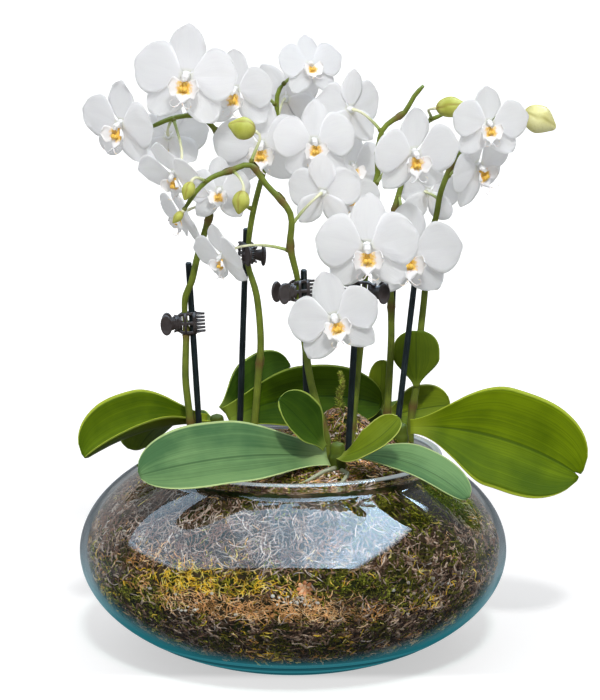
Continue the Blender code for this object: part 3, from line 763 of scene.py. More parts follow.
@dataclass(frozen=True)
class PetalFinish:
    """A white petal with faint lilac veins and a greenish foot, painted whiter at its edges and given a faint
    painted glow, as light through the thin petal would make it.
    """

    name: str = "white petal"
    white: Colour = (0.94, 0.935, 0.945)
    vein: Colour = (0.86, 0.845, 0.885)
    foot: Colour = (0.78, 0.80, 0.56)
    foot_reach: float = 0.12
    # Painted light: the edges are painted whiter, and the petal glows faintly in its own colour
    edge: Colour = (0.97, 0.97, 0.98)
    painted_light_edge_reach: Pair = (0.36, 0.49)
    glow: float = 0.038

    def make(self, effects: Effects) -> Material:
        """Builds the material."""
        petal = Surface(self.name, 0.55)
        fine = petal.effect(effects.fibres, Along=2.2, Across=26.0)
        broad = petal.effect(effects.fibres, Along=0.9, Across=7.0)
        veins = petal.plus(petal.times(fine, 0.22), petal.times(broad, 0.18))
        colour = petal.mix(veins, self.white, self.vein)
        foot = petal.fade(petal.axis("UV", "X"), 0.0, self.foot_reach)
        colour = petal.mix(petal.times(foot, 0.5), colour, self.foot)
        # Painted light: whiter towards the petal's edges
        edge = petal.step(petal.off_middle(), *self.painted_light_edge_reach)
        colour = petal.mix(petal.times(edge, 0.7), colour, self.edge)
        return petal.dress({
            "Base Color": colour,
            "Normal": petal.add("Bump", {"Height": fine, "Distance": 0.00015, "Strength": 0.25}).outputs[0],
            "Specular IOR Level": 0.06,
            # Painted glow in the petal's own colour
            "Emission Color": colour,
            "Emission Strength": self.glow,
            "Subsurface Weight": 0.8,
            "Subsurface Radius": (1.0, 0.97, 0.94),
            "Subsurface Scale": 0.006,
        })


@dataclass(frozen=True)
class LipFinish:
    """The lip: white, yellow where its tone layer is high, with red-brown specks in the yellow."""

    stops: Stops = (
        (0.05, (0.93, 0.92, 0.925)), (0.20, (0.91, 0.80, 0.80)), (0.38, (0.92, 0.76, 0.42)),
        (0.68, (0.86, 0.55, 0.10)),
    )
    speck: Colour = (0.50, 0.16, 0.12)

    def make(self, effects: Effects) -> Material:
        """Builds the material."""
        lip = Surface("orchid lip", 0.5)
        tone = lip.add("Attribute", attribute_name="tone").outputs["Fac"]
        cloud = lip.effect(effects.mottle, Scale=380.0, Low=0.35, High=0.65)
        colour = lip.ramp(lip.plus(tone, lip.times(lip.minus(cloud, 0.5), 0.45)), self.stops)
        specks = lip.effect(effects.mottle, Scale=1300.0, Low=0.60, High=0.66)
        speckled = lip.times(lip.times(specks, lip.step(tone, 0.25, 0.5)), 0.5)
        return lip.dress({
            "Base Color": lip.mix(speckled, colour, self.speck),
            "Normal": lip.effect(effects.relief, Scale=900.0, Depth=0.0001, Strength=0.3),
            "Specular IOR Level": 0.1,
        })


@dataclass(frozen=True)
class StemFinish:
    """A plant stem whose tone layer turns it from its own colour to that of its joints."""

    name: str
    light: Colour
    deep: Colour
    joint: Colour
    roughness: float = 0.42
    gloss: float = 0.16

    def make(self, effects: Effects) -> Material:
        """Builds the material."""
        stem = Surface(self.name, self.roughness)
        tone = stem.add("Attribute", attribute_name="tone").outputs["Fac"]
        blotch = stem.effect(effects.mottle, Scale=90.0, Low=0.3, High=0.7)
        fleck = stem.effect(effects.mottle, Scale=800.0, Low=0.55, High=0.75)
        colour = stem.mix(blotch, self.deep, self.light)
        colour = stem.mix(stem.times(fleck, 0.3), colour, self.joint)
        return stem.dress({
            "Base Color": stem.mix(tone, colour, self.joint),
            "Normal": stem.effect(effects.relief, Scale=600.0, Depth=0.0002, Strength=0.3),
            "Specular IOR Level": self.gloss,
        })


@dataclass(frozen=True)
class PlasticFinish:
    """Moulded or coated plastic with a fine grain."""

    name: str
    colour: Colour
    worn: Colour
    roughness: float
    coat: float = 0.0

    def make(self, effects: Effects) -> Material:
        """Builds the material."""
        plastic = Surface(self.name, self.roughness)
        cloud = plastic.effect(effects.mottle, Scale=120.0, Low=0.3, High=0.75)
        return plastic.dress({
            "Base Color": plastic.mix(cloud, self.colour, self.worn),
            "Roughness": plastic.plus(plastic.times(cloud, 0.15), self.roughness - 0.05),
            "Normal": plastic.effect(effects.relief, Scale=1200.0, Depth=0.00015, Strength=0.35),
            "Coat Weight": self.coat,
        })


CROWN_FINISH = StemFinish("leaf feet", (0.10, 0.14, 0.012), (0.035, 0.055, 0.006), (0.12, 0.08, 0.02))
# A stem, its stalks, its green buds and its cream ones
STEM_FINISHES = (
    StemFinish("olive stem", (0.19, 0.24, 0.03), (0.11, 0.15, 0.02), (0.15, 0.085, 0.03)),
    StemFinish("pale stalk", (0.36, 0.44, 0.12), (0.26, 0.34, 0.07), (0.78, 0.77, 0.52)),
    StemFinish("green bud", (0.54, 0.55, 0.13), (0.40, 0.42, 0.06), (0.30, 0.22, 0.04)),
    StemFinish("cream bud", (0.80, 0.77, 0.40), (0.70, 0.66, 0.26), (0.42, 0.38, 0.10)),
)
STAKE_FINISH = PlasticFinish("coated stake", (0.003, 0.006, 0.006), (0.009, 0.014, 0.013), 0.45, 0.05)
CLIP_FINISH = PlasticFinish("clip plastic", (0.030, 0.022, 0.020), (0.062, 0.048, 0.044), 0.40)
SPRING_FINISH = PlasticFinish("dark spring", (0.05, 0.045, 0.04), (0.09, 0.08, 0.07), 0.35, 0.2)
COLUMN_FINISH = PetalFinish("flower column", vein=(0.80, 0.70, 0.76), foot=(0.88, 0.80, 0.55))


# Sub-assemblies


@dataclass
class GlassBowl:
    """The wide, low bowl, with a thick base, a short neck and a rolled lip."""

    steps: int = 144
    arc_points: int = 40
    lip_points: int = 15
    lip_start: float = 170.0
    lip_sweep: float = 215.0
    ripple: float = 0.35
    ripple_pitch: float = 5.5
    ripple_top: float = 30.0

    @staticmethod
    def belly_arc(inset: float, low: float, high: float, count: int) -> list[Pair]:
        """Points on the belly's ellipse, inset from the outside, from one height to another."""
        radius, half_height = BOWL_RADIUS - inset, BELLY_HALF_HEIGHT - inset
        first = asin((low - BELLY_HEIGHT) / half_height)
        last = asin((high - BELLY_HEIGHT) / half_height)
        angles = [first + (last - first) * step / (count - 1) for step in range(count)]
        return [(radius * cos(a), BELLY_HEIGHT + half_height * sin(a)) for a in angles]

    @staticmethod
    def belly_height_at(radius: float, inset: float) -> float:
        """The height at which the upper belly, inset from the outside, has this radius."""
        share = radius / (BOWL_RADIUS - inset)
        return BELLY_HEIGHT + (BELLY_HALF_HEIGHT - inset) * sqrt(1 - share**2)

    def profile(self) -> list[Pair]:
        """The wall's outline from the middle of its floor, over the lip, to the middle of its base."""
        inner_top = self.belly_height_at(NECK_INNER_RADIUS, WALL)
        outer_top = self.belly_height_at(NECK_OUTER_RADIUS, 0)
        inner = self.belly_arc(WALL, BASE_THICKNESS, inner_top, self.arc_points)
        outer = self.belly_arc(0, 0, outer_top, self.arc_points + 16)
        outer = [(radius + self.ring(height), height) for radius, height in outer]
        lip_centre = NECK_OUTER_RADIUS + GAP - LIP_RADIUS / 2
        lip = []
        for step in range(self.lip_points):
            angle = radians(self.lip_start - self.lip_sweep * step / (self.lip_points - 1))
            lip.append((lip_centre + LIP_RADIUS * cos(angle), LIP_HEIGHT + LIP_RADIUS * sin(angle)))
        return [(0, BASE_THICKNESS), *inner, *lip, *reversed(outer), (0, 0)]

    def ring(self, height: float) -> float:
        """The shallow rings that turning leaves in the thick glass near the base."""
        fade = smooth(0.0, 3.0, height) * (1 - smooth(self.ripple_top * 0.6, self.ripple_top, height))
        return self.ripple * fade * (sin(tau * height / self.ripple_pitch) - 1) / 2

    def build(self, effects: Effects) -> None:
        """Makes the bowl."""
        shape = turned(self.profile(), self.steps)
        place_piece("bowl", shape, [GlassFinish().make(effects)], Slot.GLASS, ["glass_bowl"])


class Cover(Enum):
    """The kinds of small stuff that the bowl is filled with."""

    STRAW = "straw"
    GOLD = "gold"
    TAN = "tan"
    BARK = "bark"
    GREEN = "green"


@dataclass(frozen=True)
class Zone:
    """Where one kind shows most behind the glass: degrees round from the front, and up the belly."""

    kind: Cover
    turn: float
    rise: float
    turn_spread: float
    rise_spread: float
    strength: float


ZONES = (
    Zone(Cover.STRAW, -54, 33, 42, 16, 4.0),
    Zone(Cover.STRAW, 5, 30, 40, 12, 2.0),
    Zone(Cover.TAN, -14, -3, 20, 5, 5.0),
    Zone(Cover.TAN, 12, -6, 12, 4, 2.4),
    Zone(Cover.TAN, -46, 14, 7, 5, 2.2),
    Zone(Cover.GOLD, -30, 8, 9, 4.5, 8.0),
    Zone(Cover.GOLD, -16, 9, 10, 4.5, 5.0),
    Zone(Cover.BARK, -48, 12, 12, 9, 1.4),
    Zone(Cover.BARK, 52, 14, 16, 20, 2.4),
    Zone(Cover.BARK, 30, 20, 16, 9, 2.0),
    Zone(Cover.BARK, 0, -17, 60, 9, 1.6),
    Zone(Cover.GREEN, -50, -8, 18, 10, 2.4),
    Zone(Cover.GREEN, 10, 11, 10, 3.5, 3.6),
    Zone(Cover.GREEN, 20, 4, 9, 7, 4.2),
    Zone(Cover.GREEN, 50, 15, 7, 5, 4.0),
    Zone(Cover.GREEN, 44, 36, 20, 9, 6.5),
    Zone(Cover.GREEN, -16, 44, 12, 5, 2.0),
    Zone(Cover.GREEN, -10, -24, 50, 8, 1.4),
    Zone(Cover.STRAW, 150, 20, 60, 18, 1.4),
    Zone(Cover.GREEN, 120, 5, 20, 12, 1.6),
    Zone(Cover.GOLD, 175, 2, 20, 7, 1.8),
    Zone(Cover.TAN, 205, 8, 20, 8, 1.8),
    Zone(Cover.BARK, -120, 0, 30, 20, 1.4),
)


# The ranges of a strand's length, radius and curl, its number of pieces, and how many templates to make
STRANDS = {
    Cover.STRAW: (((6, 18), (0.3, 0.65), (0.4, 1.0), 4, 12),),
    Cover.GOLD: (((4, 11), (0.30, 0.62), (0.5, 1.0), 4, 12),),
    Cover.TAN: (((4, 12), (0.24, 0.46), (0.4, 1.0), 4, 12),),
    Cover.BARK: (((3, 8), (0.7, 1.4), (0.3, 0.9), 3, 6), ((5, 14), (0.34, 0.65), (0.3, 0.8), 4, 6)),
}

COVER_FINISHES = {
    Cover.STRAW: MossFinish(
        "dried strands",
        ((0.0, (0.07, 0.034, 0.026)), (0.25, (0.34, 0.20, 0.145)), (0.55, (0.62, 0.44, 0.35)),
         (0.85, (0.86, 0.70, 0.60)), (1.0, (1.0, 0.90, 0.84))),
        (0.56, 0.30, 0.20), 0.09,
    ),
    Cover.GOLD: MossFinish(
        "golden moss",
        ((0.0, (0.22, 0.10, 0.006)), (0.25, (0.84, 0.47, 0.025)), (0.6, (1.0, 0.70, 0.07)),
         (1.0, (1.0, 0.88, 0.34))),
        (0.52, 0.44, 0.03), 0.28,
    ),
    Cover.TAN: MossFinish(
        "orange-tan strands",
        ((0.0, (0.20, 0.09, 0.03)), (0.25, (0.74, 0.37, 0.14)), (0.6, (1.0, 0.60, 0.27)),
         (1.0, (1.0, 0.82, 0.54))),
        (0.86, 0.42, 0.13), 0.26,
    ),
    Cover.BARK: MossFinish(
        "bark and brown strands",
        ((0.0, (0.035, 0.016, 0.010)), (0.35, (0.17, 0.088, 0.050)), (0.7, (0.52, 0.32, 0.215)),
         (1.0, (0.95, 0.72, 0.56))),
        (0.20, 0.18, 0.018), 0.05,
    ),
    Cover.GREEN: MossFinish(
        "green moss",
        ((0.0, (0.028, 0.038, 0.003)), (0.35, (0.14, 0.165, 0.009)), (0.7, (0.42, 0.42, 0.022)),
         (1.0, (0.86, 0.82, 0.14))),
        (0.18, 0.16, 0.016), 0.07,
    ),
}
# The bed is dark brown: partly the moss body's own colour, partly painted shade for the gaps between strands
# where it shows through
BED_FINISH = MossFinish(
    "moss bed", ((0.0, (0.020, 0.013, 0.006)), (0.5, (0.075, 0.050, 0.024)), (1.0, (0.16, 0.11, 0.055))),
    (0.03, 0.04, 0.006),
)
TWIG_FINISH = MossFinish(
    "moss on the twig", ((0.0, (0.08, 0.11, 0.01)), (0.5, (0.26, 0.34, 0.03)), (1.0, (0.58, 0.64, 0.10))),
    (0.24, 0.24, 0.04), 0.2,
)
GRAIN_FINISH = MossFinish(
    "pale grains", ((0.0, (0.42, 0.36, 0.28)), (0.5, (0.74, 0.68, 0.60)), (1.0, (0.92, 0.90, 0.86))),
    (0.80, 0.60, 0.46),
)
ROSETTE_FINISH = MossFinish(
    "rosette", ((0.0, (0.60, 0.20, 0.08)), (0.5, (0.95, 0.46, 0.22)), (1.0, (1.0, 0.74, 0.50))),
    (0.9, 0.3, 0.12), 0.35,
)
ROOT_FINISH = StemFinish("air root", (0.42, 0.44, 0.30), (0.30, 0.32, 0.20), (0.5, 0.48, 0.4))


@dataclass
class Planting:
    """Moss, dried strands and bark: the filling that shows through the glass, and the mounds on top."""

    steps: int = 132
    side_points: int = 44
    top_rings: int = 30
    bed_drop: float = 1.2
    lump_sizes: Pair = (12.0, 4.5)
    seed: int = 11
    side_tries: tuple[tuple[Cover, int], ...] = (
        (Cover.STRAW, 33000), (Cover.GOLD, 42000), (Cover.TAN, 52000), (Cover.BARK, 42000),
        (Cover.GREEN, 26000),
    )
    side_sizes: Pair = (0.7, 1.2)
    top_tries: tuple[tuple[Cover, int], ...] = (
        (Cover.STRAW, 1500), (Cover.TAN, 1500), (Cover.BARK, 3400), (Cover.GREEN, 1700)
    )
    top_sizes: Pair = (0.5, 1.0)
    inset: float = WALL + GAP
    shoots: int = 12
    cover_foot: float = 24.0
    wrap_radius: float = 150.0
    wrap_rise: float = 112.0
    sprig_at: Pair = (37.0, 8.0)
    sprig_leaflets: int = 620
    rosette_at: Pair = (3.0, 7.0)
    rosette_rings: tuple[tuple[int, float, float], ...] = ((8, 4.2, 2.0), (6, 2.5, 1.6), (4, 1.0, 1.1))
    bit_clusters: tuple[Cluster, ...] = (
        (62, -10, 5, 26), (26, -70, 5, 16), (45, -20, 14, 40), (-30, -60, 14, 26), (-20, 60, 30, 40),
    )
    glass_clusters: tuple[Cluster, ...] = (
        (0, 1.5, 3.0, 26), (-30, -6, 8, 16), (40, 5, 10, 22), (-55, 20, 9, 16), (160, 5, 30, 30),
    )
    root_paths: tuple[tuple[Triple, ...], ...] = (
        ((31, -66, 2), (22, -78, 3), (12, -87, 1.5), (3, -91, -1)),
        ((36, -68, 2), (40, -80, 3), (33, -92, 1), (28, -95, -2)),
        ((25, -60, 2), (8, -66, 2.5), (-8, -76, 1), (-16, -80, -2)),
    )
    chance: random.Random = field(init=False)

    def __post_init__(self) -> None:
        """Seeds the random draws."""
        self.chance = random.Random(self.seed)

    @staticmethod
    def top_height(x: float, y: float) -> float:
        """The height of the moss at a place inside the bowl's mouth."""
        share = min(1.0, hypot(x, y) / NECK_INNER_RADIUS)
        height = MOSS_EDGE_HEIGHT + MOSS_DOME * (1 - share**2)
        swell = sum(
            rise * exp(-((x - cx) ** 2 + (y - cy) ** 2) / (2 * spread**2))
            for (cx, cy), rise, spread in MOSS_MOUNDS
        )
        swell += MOSS_ROUGHNESS * noise.noise(Vector((x, y, 0)) / 14.0)
        return height + swell * (1 - share**8)

    def side_place(self, turn: float, latitude: float, depth: float) -> Vector:
        """A place behind the glass, in millimetres.

        Args:
            turn: The angle round the bowl.
            latitude: The angle up the belly's ellipse.
            depth: The distance inwards from the moss's outside.

        Returns:
            The place.
        """
        radius = (BOWL_RADIUS - self.inset - depth) * cos(latitude)
        height = BELLY_HEIGHT + (BELLY_HALF_HEIGHT - self.inset - depth) * sin(latitude)
        height = max(BASE_THICKNESS + GAP, height)
        return Vector((radius * cos(turn), radius * sin(turn), height))

    @staticmethod
    def latitudes() -> Pair:
        """The lowest and the highest angle up the belly that the moss reaches."""
        half = BELLY_HALF_HEIGHT - WALL
        top = GlassBowl.belly_height_at(NECK_INNER_RADIUS, WALL)
        return asin((BASE_THICKNESS - BELLY_HEIGHT) / half), asin((top - BELLY_HEIGHT) / half)

    def build_bed(self) -> BMesh:
        """The body of the planting, lumpy under its cover."""
        inner_top = GlassBowl.belly_height_at(NECK_INNER_RADIUS, WALL)
        side = GlassBowl.belly_arc(self.inset, BASE_THICKNESS + GAP, inner_top - GAP, self.side_points)
        edge = NECK_INNER_RADIUS - GAP
        rings = [edge * (1 - step / self.top_rings) for step in range(1, self.top_rings)]
        top = [(edge, MOSS_EDGE_HEIGHT), *[(radius, MOSS_EDGE_HEIGHT + 4) for radius in rings]]
        profile = [(0, MOSS_EDGE_HEIGHT + 4), *reversed(top), *reversed(side), (0, BASE_THICKNESS + GAP)]
        shape = turned(profile, self.steps)
        for vertex in shape.verts:
            here = vertex.co * 1000.0
            if here.z > MOSS_EDGE_HEIGHT + 1:
                vertex.co.z = (self.top_height(here.x, here.y) - self.bed_drop) / 1000.0
            elif here.z > BASE_THICKNESS + 2 * GAP:
                broad, small = (noise.noise(here / size) for size in self.lump_sizes)
                lump = 0.6 + broad + 0.6 * small
                inward = Vector((here.x, here.y, (here.z - BELLY_HEIGHT) * 2)).normalized()
                vertex.co -= mm(inward * (1.6 + 2.2 * max(0.0, lump)))
        return shape

    @staticmethod
    def template(shape: BMesh) -> Mesh:
        """A mesh to copy from, in millimetres."""
        bmesh.ops.scale(shape, vec=(1000.0, 1000.0, 1000.0), verts=shape.verts)
        return into_mesh("template", shape)

    def strand_template(self, length: float, radius: float, curl: float, pieces: int) -> Mesh:
        """A thin dried strand that wanders in the XY plane and dips in and out along Z.

        Args:
            length: Its length if it were straight.
            radius: Its thickest radius.
            curl: How far it may turn at each of its pieces.
            pieces: The number of straight pieces.

        Returns:
            The mesh to copy.
        """
        heading, place = 0.0, Vector((-length / 2, 0, 0))
        route, radii = [], []
        for step in range(pieces + 1):
            route.append(place.copy())
            radii.append(radius * (0.45 + 0.55 * sin(pi * (step + 0.7) / (pieces + 1.4))))
            heading += self.chance.uniform(-curl, curl)
            stride = Vector((cos(heading), sin(heading), self.chance.uniform(-0.25, 0.25)))
            place += stride * (length / pieces)
        shape = bmesh.new()
        add_tube(shape, route, radii, 3)
        return self.template(shape)

    @staticmethod
    def add_leaflet(
        shape: BMesh, foot: Vector, turn: float, tilt: float, radius: float, reach: float
    ) -> None:
        """Adds a pointed leaflet of moss.

        Args:
            shape: The bmesh that the leaflet is added to.
            foot: Where it grows, in millimetres.
            turn: Its turn about Z.
            tilt: Its lean away from Z, before that turn.
            radius: The radius at its foot.
            reach: Its length.
        """
        made = bmesh.ops.create_cone(
            shape, cap_ends=False, segments=3, radius1=radius / 1000.0, radius2=0.0, depth=1.0
        )["verts"]
        lean = Matrix.Rotation(turn, 4, "Z") @ Matrix.Rotation(tilt, 4, "Y")
        grow = Matrix.Diagonal((1.0, 1.0, reach / 1000.0, 1.0)) @ Matrix.Translation((0, 0, 0.5))
        bmesh.ops.transform(shape, matrix=at(foot) @ lean @ grow, verts=made)

    def shoot_template(self, length: float, leaflets: int) -> Mesh:
        """A shoot of moss: a curved stalk with pointed leaflets on both sides."""
        draw = self.chance.uniform
        bend = draw(-0.25, 0.25)
        route = [Vector((length * (t - 0.5), bend * length * t * t, 0.8 * t)) for t in (0, 0.5, 1)]
        shape = bmesh.new()
        add_tube(shape, route, [0.28, 0.24, 0.12], 3)
        for number in range(leaflets):
            share = 0.12 + 0.88 * number / (leaflets - 1)
            half = int(share >= 0.5)
            foot = route[half].lerp(route[half + 1], share * 2 - half)
            hand = 1 if number % 2 else -1
            turn = hand * radians(draw(28, 62)) * (1 - 0.6 * share**3)
            reach = draw(1.5, 2.6) * (1.15 - 0.4 * share)
            radius = draw(0.35, 0.6)
            self.add_leaflet(shape, foot, turn, radians(90) - draw(0.0, 0.5), radius, reach)
        return self.template(shape)

    def templates(self, kind: Cover) -> list[Mesh]:
        """The shapes that one kind is made of."""
        draw = self.chance.uniform
        if kind is Cover.GREEN:
            return [self.shoot_template(draw(6, 12), self.chance.randint(9, 12)) for _ in range(self.shoots)]
        return [
            self.strand_template(*[draw(*span) for span in spans], pieces)
            for *spans, pieces, count in STRANDS[kind] for _ in range(count)
        ]

    def scatter(
        self,
        templates: Sequence[Mesh],
        tries: int,
        draw: Callable[[], Triple | None],
        wrap: Callable[[Vector], Vector],
        sizes: Pair,
    ) -> BMesh:
        """Copies templates all over a flat layout, and wraps the layout on to its surface.

        Args:
            templates: The meshes to copy, in millimetres.
            tries: The number of tries.
            draw: Gives a place in the layout, or None where this try is left out.
            wrap: Takes a point of the layout, in millimetres, to its place.
            sizes: The smallest and the largest scale of a copy.

        Returns:
            The bmesh of all the copies, in metres.
        """
        shape = bmesh.new()
        for _ in range(tries):
            place = draw()
            if place is None:
                continue
            mesh = self.chance.choice(templates)
            turn = Matrix.Rotation(self.chance.uniform(0, tau), 4, "Z")
            scale = Matrix.Scale(self.chance.uniform(*sizes), 4)
            move = Matrix.Translation(place) @ turn @ scale
            mesh.transform(move)
            shape.from_mesh(mesh)
            mesh.transform(move.inverted())
        for vertex in shape.verts:
            vertex.co = mm(wrap(vertex.co))
        return shape

    def side_share(self, kind: Cover, turn: float, latitude: float) -> float:
        """The share of the cover at a place behind the glass that one kind takes."""
        around = (degrees(turn) + 90 + 180) % 360 - 180
        rise = degrees(latitude)
        here = self.side_place(turn, latitude, 0) / 26.0
        weights = {}
        for number, each in enumerate(Cover):
            weights[each] = 0.25 + 1.5 * max(0.0, noise.noise(here + Vector((7.1 * number, 3.3, 0))))
        for zone in ZONES:
            away = (around - zone.turn + 180) % 360 - 180
            fall = (away / zone.turn_spread) ** 2 + (rise - zone.rise) ** 2 / zone.rise_spread**2
            weights[zone.kind] += zone.strength * exp(-fall)
        return weights[kind] ** 2 / sum(weight**2 for weight in weights.values())

    def draw_side(self, kind: Cover) -> Triple | None:
        """A place for one piece behind the glass, or None where another kind grows."""
        low, high = self.latitudes()
        low = max(low, asin((self.cover_foot - BELLY_HEIGHT) / BELLY_HALF_HEIGHT))
        latitude = self.chance.uniform(low + 0.02, high - 0.01)
        turn = self.chance.uniform(0, tau)
        depth = self.chance.uniform(0.5, 3.8)
        if self.chance.random() > cos(latitude) * self.side_share(kind, turn, latitude):
            return None
        return turn * self.wrap_radius, latitude * self.wrap_rise, depth

    def wrap_side(self, point: Vector) -> Vector:
        """Takes a point of the layout behind the glass to its place in the bowl."""
        low, high = self.latitudes()
        latitude = min(high, max(low, point.y / self.wrap_rise))
        return self.side_place(point.x / self.wrap_radius, latitude, max(0.1, point.z))

    def draw_top(self) -> Triple:
        """A place on top of the moss."""
        radius = (NECK_INNER_RADIUS - 5) * sqrt(self.chance.random())
        turn = self.chance.uniform(0, tau)
        return radius * cos(turn), radius * sin(turn), self.chance.uniform(-0.6, 1.4)

    def wrap_top(self, point: Vector) -> Vector:
        """Lays a point of the layout on top of the moss, inside the bowl's mouth."""
        reach = hypot(point.x, point.y)
        most = NECK_INNER_RADIUS - 0.8
        if reach > most:
            point = Vector((point.x * most / reach, point.y * most / reach, point.z))
        return Vector((point.x, point.y, self.top_height(point.x, point.y) + point.z))

    def build_sprig(self) -> BMesh:
        """A dead twig that stands in the mound, furred with moss."""
        draw = self.chance.uniform
        x, y = self.sprig_at
        base = self.top_height(x, y) - 3.0
        knots = [(x, y, base), (x - 1.5, y, base + 11), (x + 0.8, y - 1, base + 21), (x - 1, y, base + 31)]
        route = smooth_route(knots, 2.0)
        shape = bmesh.new()
        add_tube(shape, route, taper(route, 1.2, 0.7), 6)
        for _ in range(self.sprig_leaflets):
            share = self.chance.random()
            piece = int(share * (len(route) - 1))
            foot = route[piece].lerp(route[piece + 1], 0.5)
            radius = draw(0.7, 1.2)
            reach = draw(2.5, 5.5) * (1.1 - 0.5 * share)
            self.add_leaflet(shape, foot, draw(0, tau), draw(0.5, 1.5), radius, reach)
        return shape

    def build_bits(self) -> BMesh:
        """Pale grains and bits of cork, in clusters on top and behind the glass."""
        draw, gauss = self.chance.uniform, self.chance.gauss
        places = []
        for x, y, spread, count in self.bit_clusters:
            for _ in range(count):
                here = Vector((gauss(x, spread), gauss(y, spread), 0.0))
                if hypot(here.x, here.y) < NECK_INNER_RADIUS - 5:
                    here.z = self.top_height(here.x, here.y) + 0.6
                    places.append(here)
        for turn, rise, spread, count in self.glass_clusters:
            for _ in range(count):
                around = radians(gauss(turn, spread) - 90)
                places.append(self.side_place(around, radians(gauss(rise, spread * 0.6)), 1.5))
        shape = bmesh.new()
        for here in places:
            turn = Matrix.Rotation(draw(0, tau), 4, "Z")
            size = draw(0.7, 1.7)
            add_ball(shape, at(here) @ turn, (size, size * draw(0.6, 1.0), size * draw(0.5, 0.8)), 7)
        return shape

    def build_rosette(self) -> BMesh:
        """A small rosette of fleshy leaves, pressed against the glass."""
        shape = bmesh.new()
        turn, rise = (radians(angle) for angle in self.rosette_at)
        middle = self.side_place(turn - pi / 2, rise, 1.4)
        across = Vector((cos(turn), sin(turn), 0.0))
        for ring, (count, reach, size) in enumerate(self.rosette_rings):
            for number in range(count):
                angle = tau * (number + 0.5 * ring) / count
                place = middle + (across * cos(angle) + Vector((0, 0, sin(angle)))) * reach
                tilt = Matrix.Rotation(turn, 4, "Z") @ Matrix.Rotation(-angle, 4, "Y")
                add_ball(shape, at(place) @ tilt, (size, 0.9, size * 0.7), 9, 0, 0.2 * ring)
        return shape

    def build_roots(self) -> BMesh:
        """Pale air roots of the front plant, which lie on the moss."""
        shape = bmesh.new()
        for path in self.root_paths:
            route = smooth_route([(x, y, self.top_height(x, y) + rise) for x, y, rise in path], 2.5)
            add_tube(shape, route, taper(route, 1.9, 0.9), 10)
        return shape

    def build(self, effects: Effects) -> None:
        """Makes the filling."""
        finishes = {kind: finish.make(effects) for kind, finish in COVER_FINISHES.items()}
        shapes = {kind: self.templates(kind) for kind in Cover}
        place_piece("moss_bed", self.build_bed(), [BED_FINISH.make(effects)], Slot.MOSS, ["moss"])
        for kind, tries in self.side_tries:
            for half in (1, 2):
                shape = self.scatter(
                    shapes[kind], tries // 2, lambda: self.draw_side(kind), self.wrap_side, self.side_sizes
                )
                place_piece(f"{kind.value}_behind_glass_{half}", shape, [finishes[kind]], Slot.MOSS)
        for kind, tries in self.top_tries:
            shape = self.scatter(shapes[kind], tries, self.draw_top, self.wrap_top, self.top_sizes)
            place_piece(f"{kind.value}_on_top", shape, [finishes[kind]], Slot.MOSS)
        for name, make, finish in (
            ("moss_sprig", self.build_sprig, TWIG_FINISH),
            ("pale_grains", self.build_bits, GRAIN_FINISH),
            ("little_rosette", self.build_rosette, ROSETTE_FINISH),
            ("air_roots", self.build_roots, ROOT_FINISH),
        ):
            place_piece(name, make(), [finish.make(effects)], Slot.MOSS)


CROWNS = {
    "front": (33.0, -60.0),
    "left": (-60.0, 42.0),
    "right": (83.0, 9.0),
    "back": (66.0, 71.0),
}
# Where the leaf marked "side" grows, on stem F
SIDE_SHOOT = (97.0, 43.0)


@dataclass
class Crown:
    """A plant's short stem, wrapped in the feet of its leaves."""

    name: str
    place: Pair
    rings: int = 30
    per_leaf: int = 6

    def build(self, material: Material) -> None:
        """Makes the crown."""
        height = CROWN_TOP_HEIGHT - CROWN_FOOT_HEIGHT
        profile = [(0, CROWN_TOP_HEIGHT + 1.5)]
        for step in range(self.rings, -1, -1):
            share = step / self.rings
            sheath = 0.86 + 0.12 * (step % self.per_leaf) / self.per_leaf
            radius = CROWN_RADIUS * sheath * (1 - 0.35 * share**6)
            profile.append((radius, CROWN_FOOT_HEIGHT + height * share))
        shape = turned([*profile, (0, CROWN_FOOT_HEIGHT)], 24)
        bmesh.ops.translate(shape, vec=mm(*self.place, 0), verts=shape.verts)
        place_piece(f"plant_{self.name}", shape, [material], Slot.CROWN, [f"crown_{self.name}"])


@dataclass(frozen=True)
class LeafPlan:
    """How a strap leaf leaves its crown and bends. Angles are in degrees."""

    crown: str
    height: float
    heading: float
    rise: float
    droop: float
    length: float
    width: float
    bank: float
    tone: LeafTone
    fold: float = 12.0
    sweep: float = 0.0
    neck: float = 0.26
    stand_off: float = 0.0
    notch: float = 0.0


